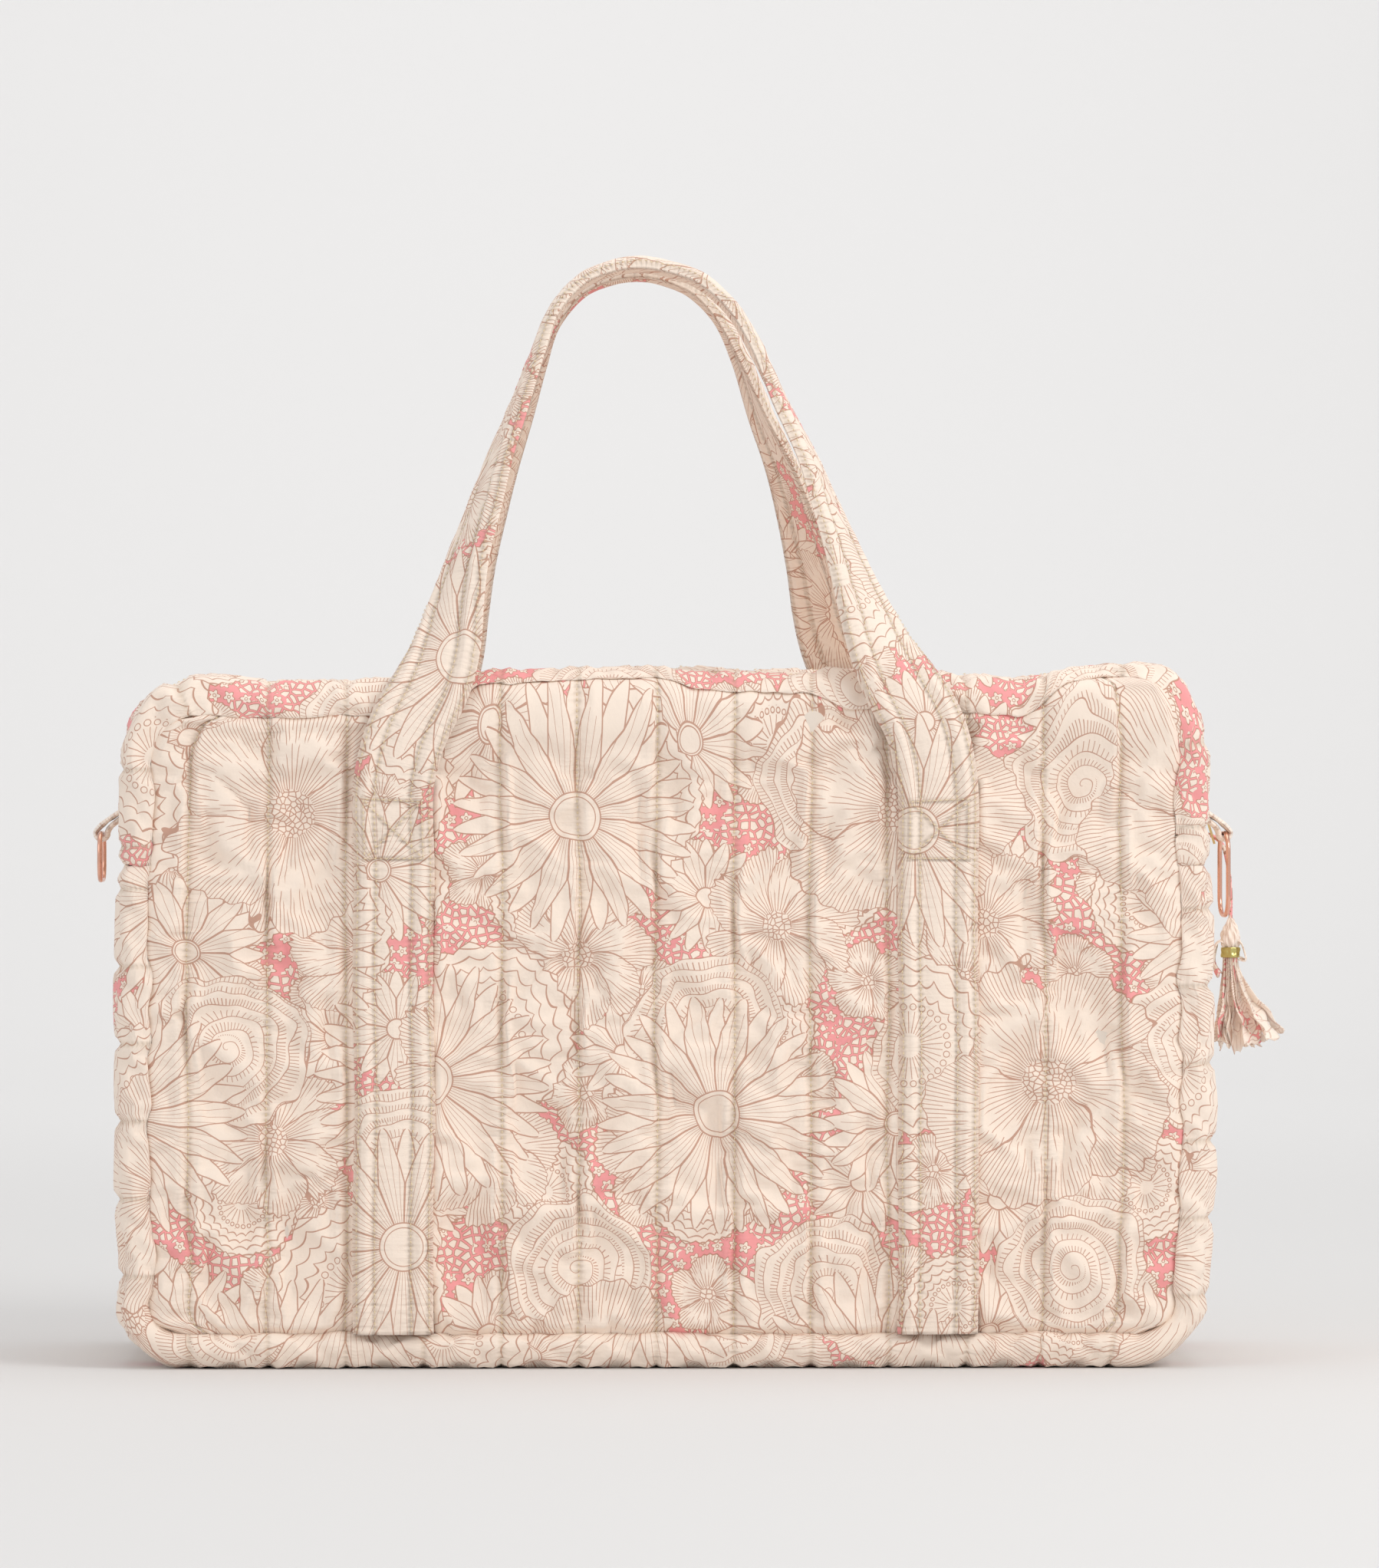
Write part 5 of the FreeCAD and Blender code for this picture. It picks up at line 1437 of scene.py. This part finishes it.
def ribbon(path, width_way, widths, fold, slant=0.0, thick=0.5, columns=9):
    """Outer and inner grids of a folded fabric strip along a path; slant tilts its cut end."""
    path, along = smooth_curve(path, step=1.0)
    way = unit(np.gradient(path, axis=0))
    width_way = np.asarray(width_way, float)
    side = unit(width_way - way * (way @ width_way)[:, None])
    up = np.cross(side, way)
    width = np.interp(np.linspace(0, 1, len(path)), np.linspace(0, 1, len(widths)), widths)
    t = np.linspace(-1, 1, columns)
    half = width[:, None] / 2 * t[None]
    lift = fold * width[:, None] * (1 - np.abs(t[None]) ** 1.6) * 0.5
    base = path[:, None] + side[:, None] * half[:, :, None] + up[:, None] * lift[:, :, None]
    ragged = half * slant + 0.9 * np.sin(7 * t + 9 * slant)[None]
    base += way[:, None] * (ragged * smooth(0.75, 1, along / along[-1])[:, None])[:, :, None]
    flutter = 0.8 * np.sin(along[:, None] * 0.42 + 4 * slant + 2.2 * t[None])
    base += up[:, None] * (flutter * smooth(0.3, 0.9, along / along[-1])[:, None])[:, :, None]
    cloth = np.stack([half, np.broadcast_to(along[:, None], half.shape)], -1)
    return base + up[:, None] * thick / 2, base - up[:, None] * thick / 2, cloth


# The skirt's strips: heading round the axis, flare at the foot, length, width, fold, sideways drift.
STRIPS = [
    (10, 20.5, 39, 9.5, 0.5, 3.0), (52, 13.0, 45, 9.0, 0.6, 4.0), (95, 9.0, 44, 8.0, 0.7, 2.5),
    (138, 6.5, 46, 8.0, 0.7, 1.5), (182, 4.0, 41, 8.5, 0.6, 0.0), (226, 3.0, 46, 8.0, 0.8, 2.0),
    (262, 5.0, 48, 7.5, 0.8, 4.0), (296, 9.5, 45, 9.0, 0.6, 6.0), (330, 14.5, 42, 10.0, 0.5, 6.0),
    (350, 9.0, 44, 7.0, 0.7, 5.0), (30, 7.0, 46, 7.5, 0.7, 3.5), (280, 2.5, 47, 7.0, 0.7, 1.0),
    (312, 5.5, 44, 6.5, 0.8, 6.5), (205, 1.5, 44, 7.0, 0.8, 0.0),
]
STRIP_COURSE = ((0, 0.0), (0.14, 0.02), (0.34, 0.16), (0.56, 0.4), (0.78, 0.72), (1.0, 1.0))  # down, out
ribbons = []
for index, (heading, flare, length, width, fold, drift) in enumerate(STRIPS):
    angle = math.radians(heading)
    outward = np.array([math.cos(angle), math.sin(angle), 0])
    around = np.array([-outward[1], outward[0], 0])
    start = np.array([TASSEL_X, CORD_Y, BAND_LOW + 1.5])
    path = []
    for share, spread in STRIP_COURSE:
        point = start + outward * (3.2 + spread * flare)
        point[0] += drift * spread
        point[2] -= share * length
        sway = 2.1 * spread * math.sin(index * 2.1 + share * 8)
        path.append(point + around * sway)
    widths = (3.6, 4.6, width, width * 1.25, width * 1.15)
    outer, inner, cloth = ribbon(path, around, widths, fold, 0.5 * math.sin(index * 1.7))
    ribbons.append((outer, inner, cloth + (5500 + 211 * index, 97 * index)))
loop = [
    (TASSEL_X + 3.6, CORD_Y - 2, BAND_HIGH + 3.5), (TASSEL_X + 5.6, CORD_Y - 2.6, BAND_HIGH + 2.0),
    (TASSEL_X + 7.6, CORD_Y - 3, BAND_LOW + 1.0), (TASSEL_X + 7.2, CORD_Y - 3, BAND_LOW - 1.6),
    (TASSEL_X + 4.4, CORD_Y - 2.6, BAND_LOW - 0.6),
]
flag = [
    (TASSEL_X - 3.4, CORD_Y - 1.5, BAND_HIGH + 3.0), (TASSEL_X - 6.5, CORD_Y - 2.5, BAND_HIGH + 2.0),
    (TASSEL_X - 8.6, CORD_Y - 2.8, BAND_LOW + 0.5), (TASSEL_X - 7.4, CORD_Y - 2.6, BAND_LOW - 5.0),
    (TASSEL_X - 5.6, CORD_Y - 2.2, BAND_LOW - 9.0),
]
for path, way, widths, fold in (
    (loop, (0, 1, 0.2), (2.2, 2.6, 2.4), 0.3),
    (flag, (0.3, 1, 0.2), (4, 7, 6.5, 5), 0.4),
):
    outer, inner, cloth = ribbon(path, way, widths, fold)
    ribbons.append((outer, inner, cloth + (5300, 70 + 40 * fold)))
for index, (outer, inner, cloth) in enumerate(ribbons):
    strip = slab("tassel_strip_%02d" % (index + 1), outer, inner, cloth, [STRIP_PRINT, STRIP_PRINT])
    declare(strip, "tassel", ("tassel_skirt",))

# ---------------------------------------------------------------- inside

BINDING_CORNER = 16
for side in ("front", "rear"):
    low, high = box_mm(side + "_seam_binding")
    middle_z, half_z = (low[2] + high[2]) / 2, (high[2] - low[2]) / 2
    path, along = resample(rounded_loop(0, middle_z, high[0], half_z, BINDING_CORNER, 10), step=6.0)
    inward = unit((0, middle_z) - path)
    near, far = low[1], high[1]
    profile = [(0.4, near + 0.5), (2.0, near), (2.8, (near + far) / 2), (2.0, far), (0.4, far - 0.5)]
    across, _ = smooth_curve(profile, step=1.0)
    layers = [raised(path, inward, across[:, 1], across[:, 0] * shrink) for shrink in (1.0, 0.4)]
    cloth = np.stack(np.meshgrid(along, across[:, 1], indexing="ij"), -1)
    piece = slab(side + "_binding_tape", *layers, cloth, [LINING, LINING])
    declare(piece, "bag", (side + "_seam_binding",))

low, high = box_mm("inner_pocket")
u, v = np.meshgrid(np.linspace(low[0], high[0], 49), np.linspace(low[2], high[2], 37), indexing="ij")
rim = np.minimum.reduce([u - low[0], high[0] - u, v - low[2]])
swell = 2.6 * (1 - np.exp(-rim / 9)) * (0.5 + 0.5 * (v - low[2]) / (high[2] - low[2]))
swell += 0.35 * noise(u / 18, v / 25, 77) * smooth(0, 6, rim)
top_roll = 0.9 * bell(high[2] - v - 2, 2.2)
outer = np.stack([u, high[1] - 0.6 - swell - top_roll, v], -1)
inner = np.stack([u, high[1] + 0 * swell, v], -1)
pocket = slab("inner_pocket_cloth", outer, inner, np.stack([u, v], -1), [LINING, LINING])
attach(pocket, "bag")
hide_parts("inner_pocket")
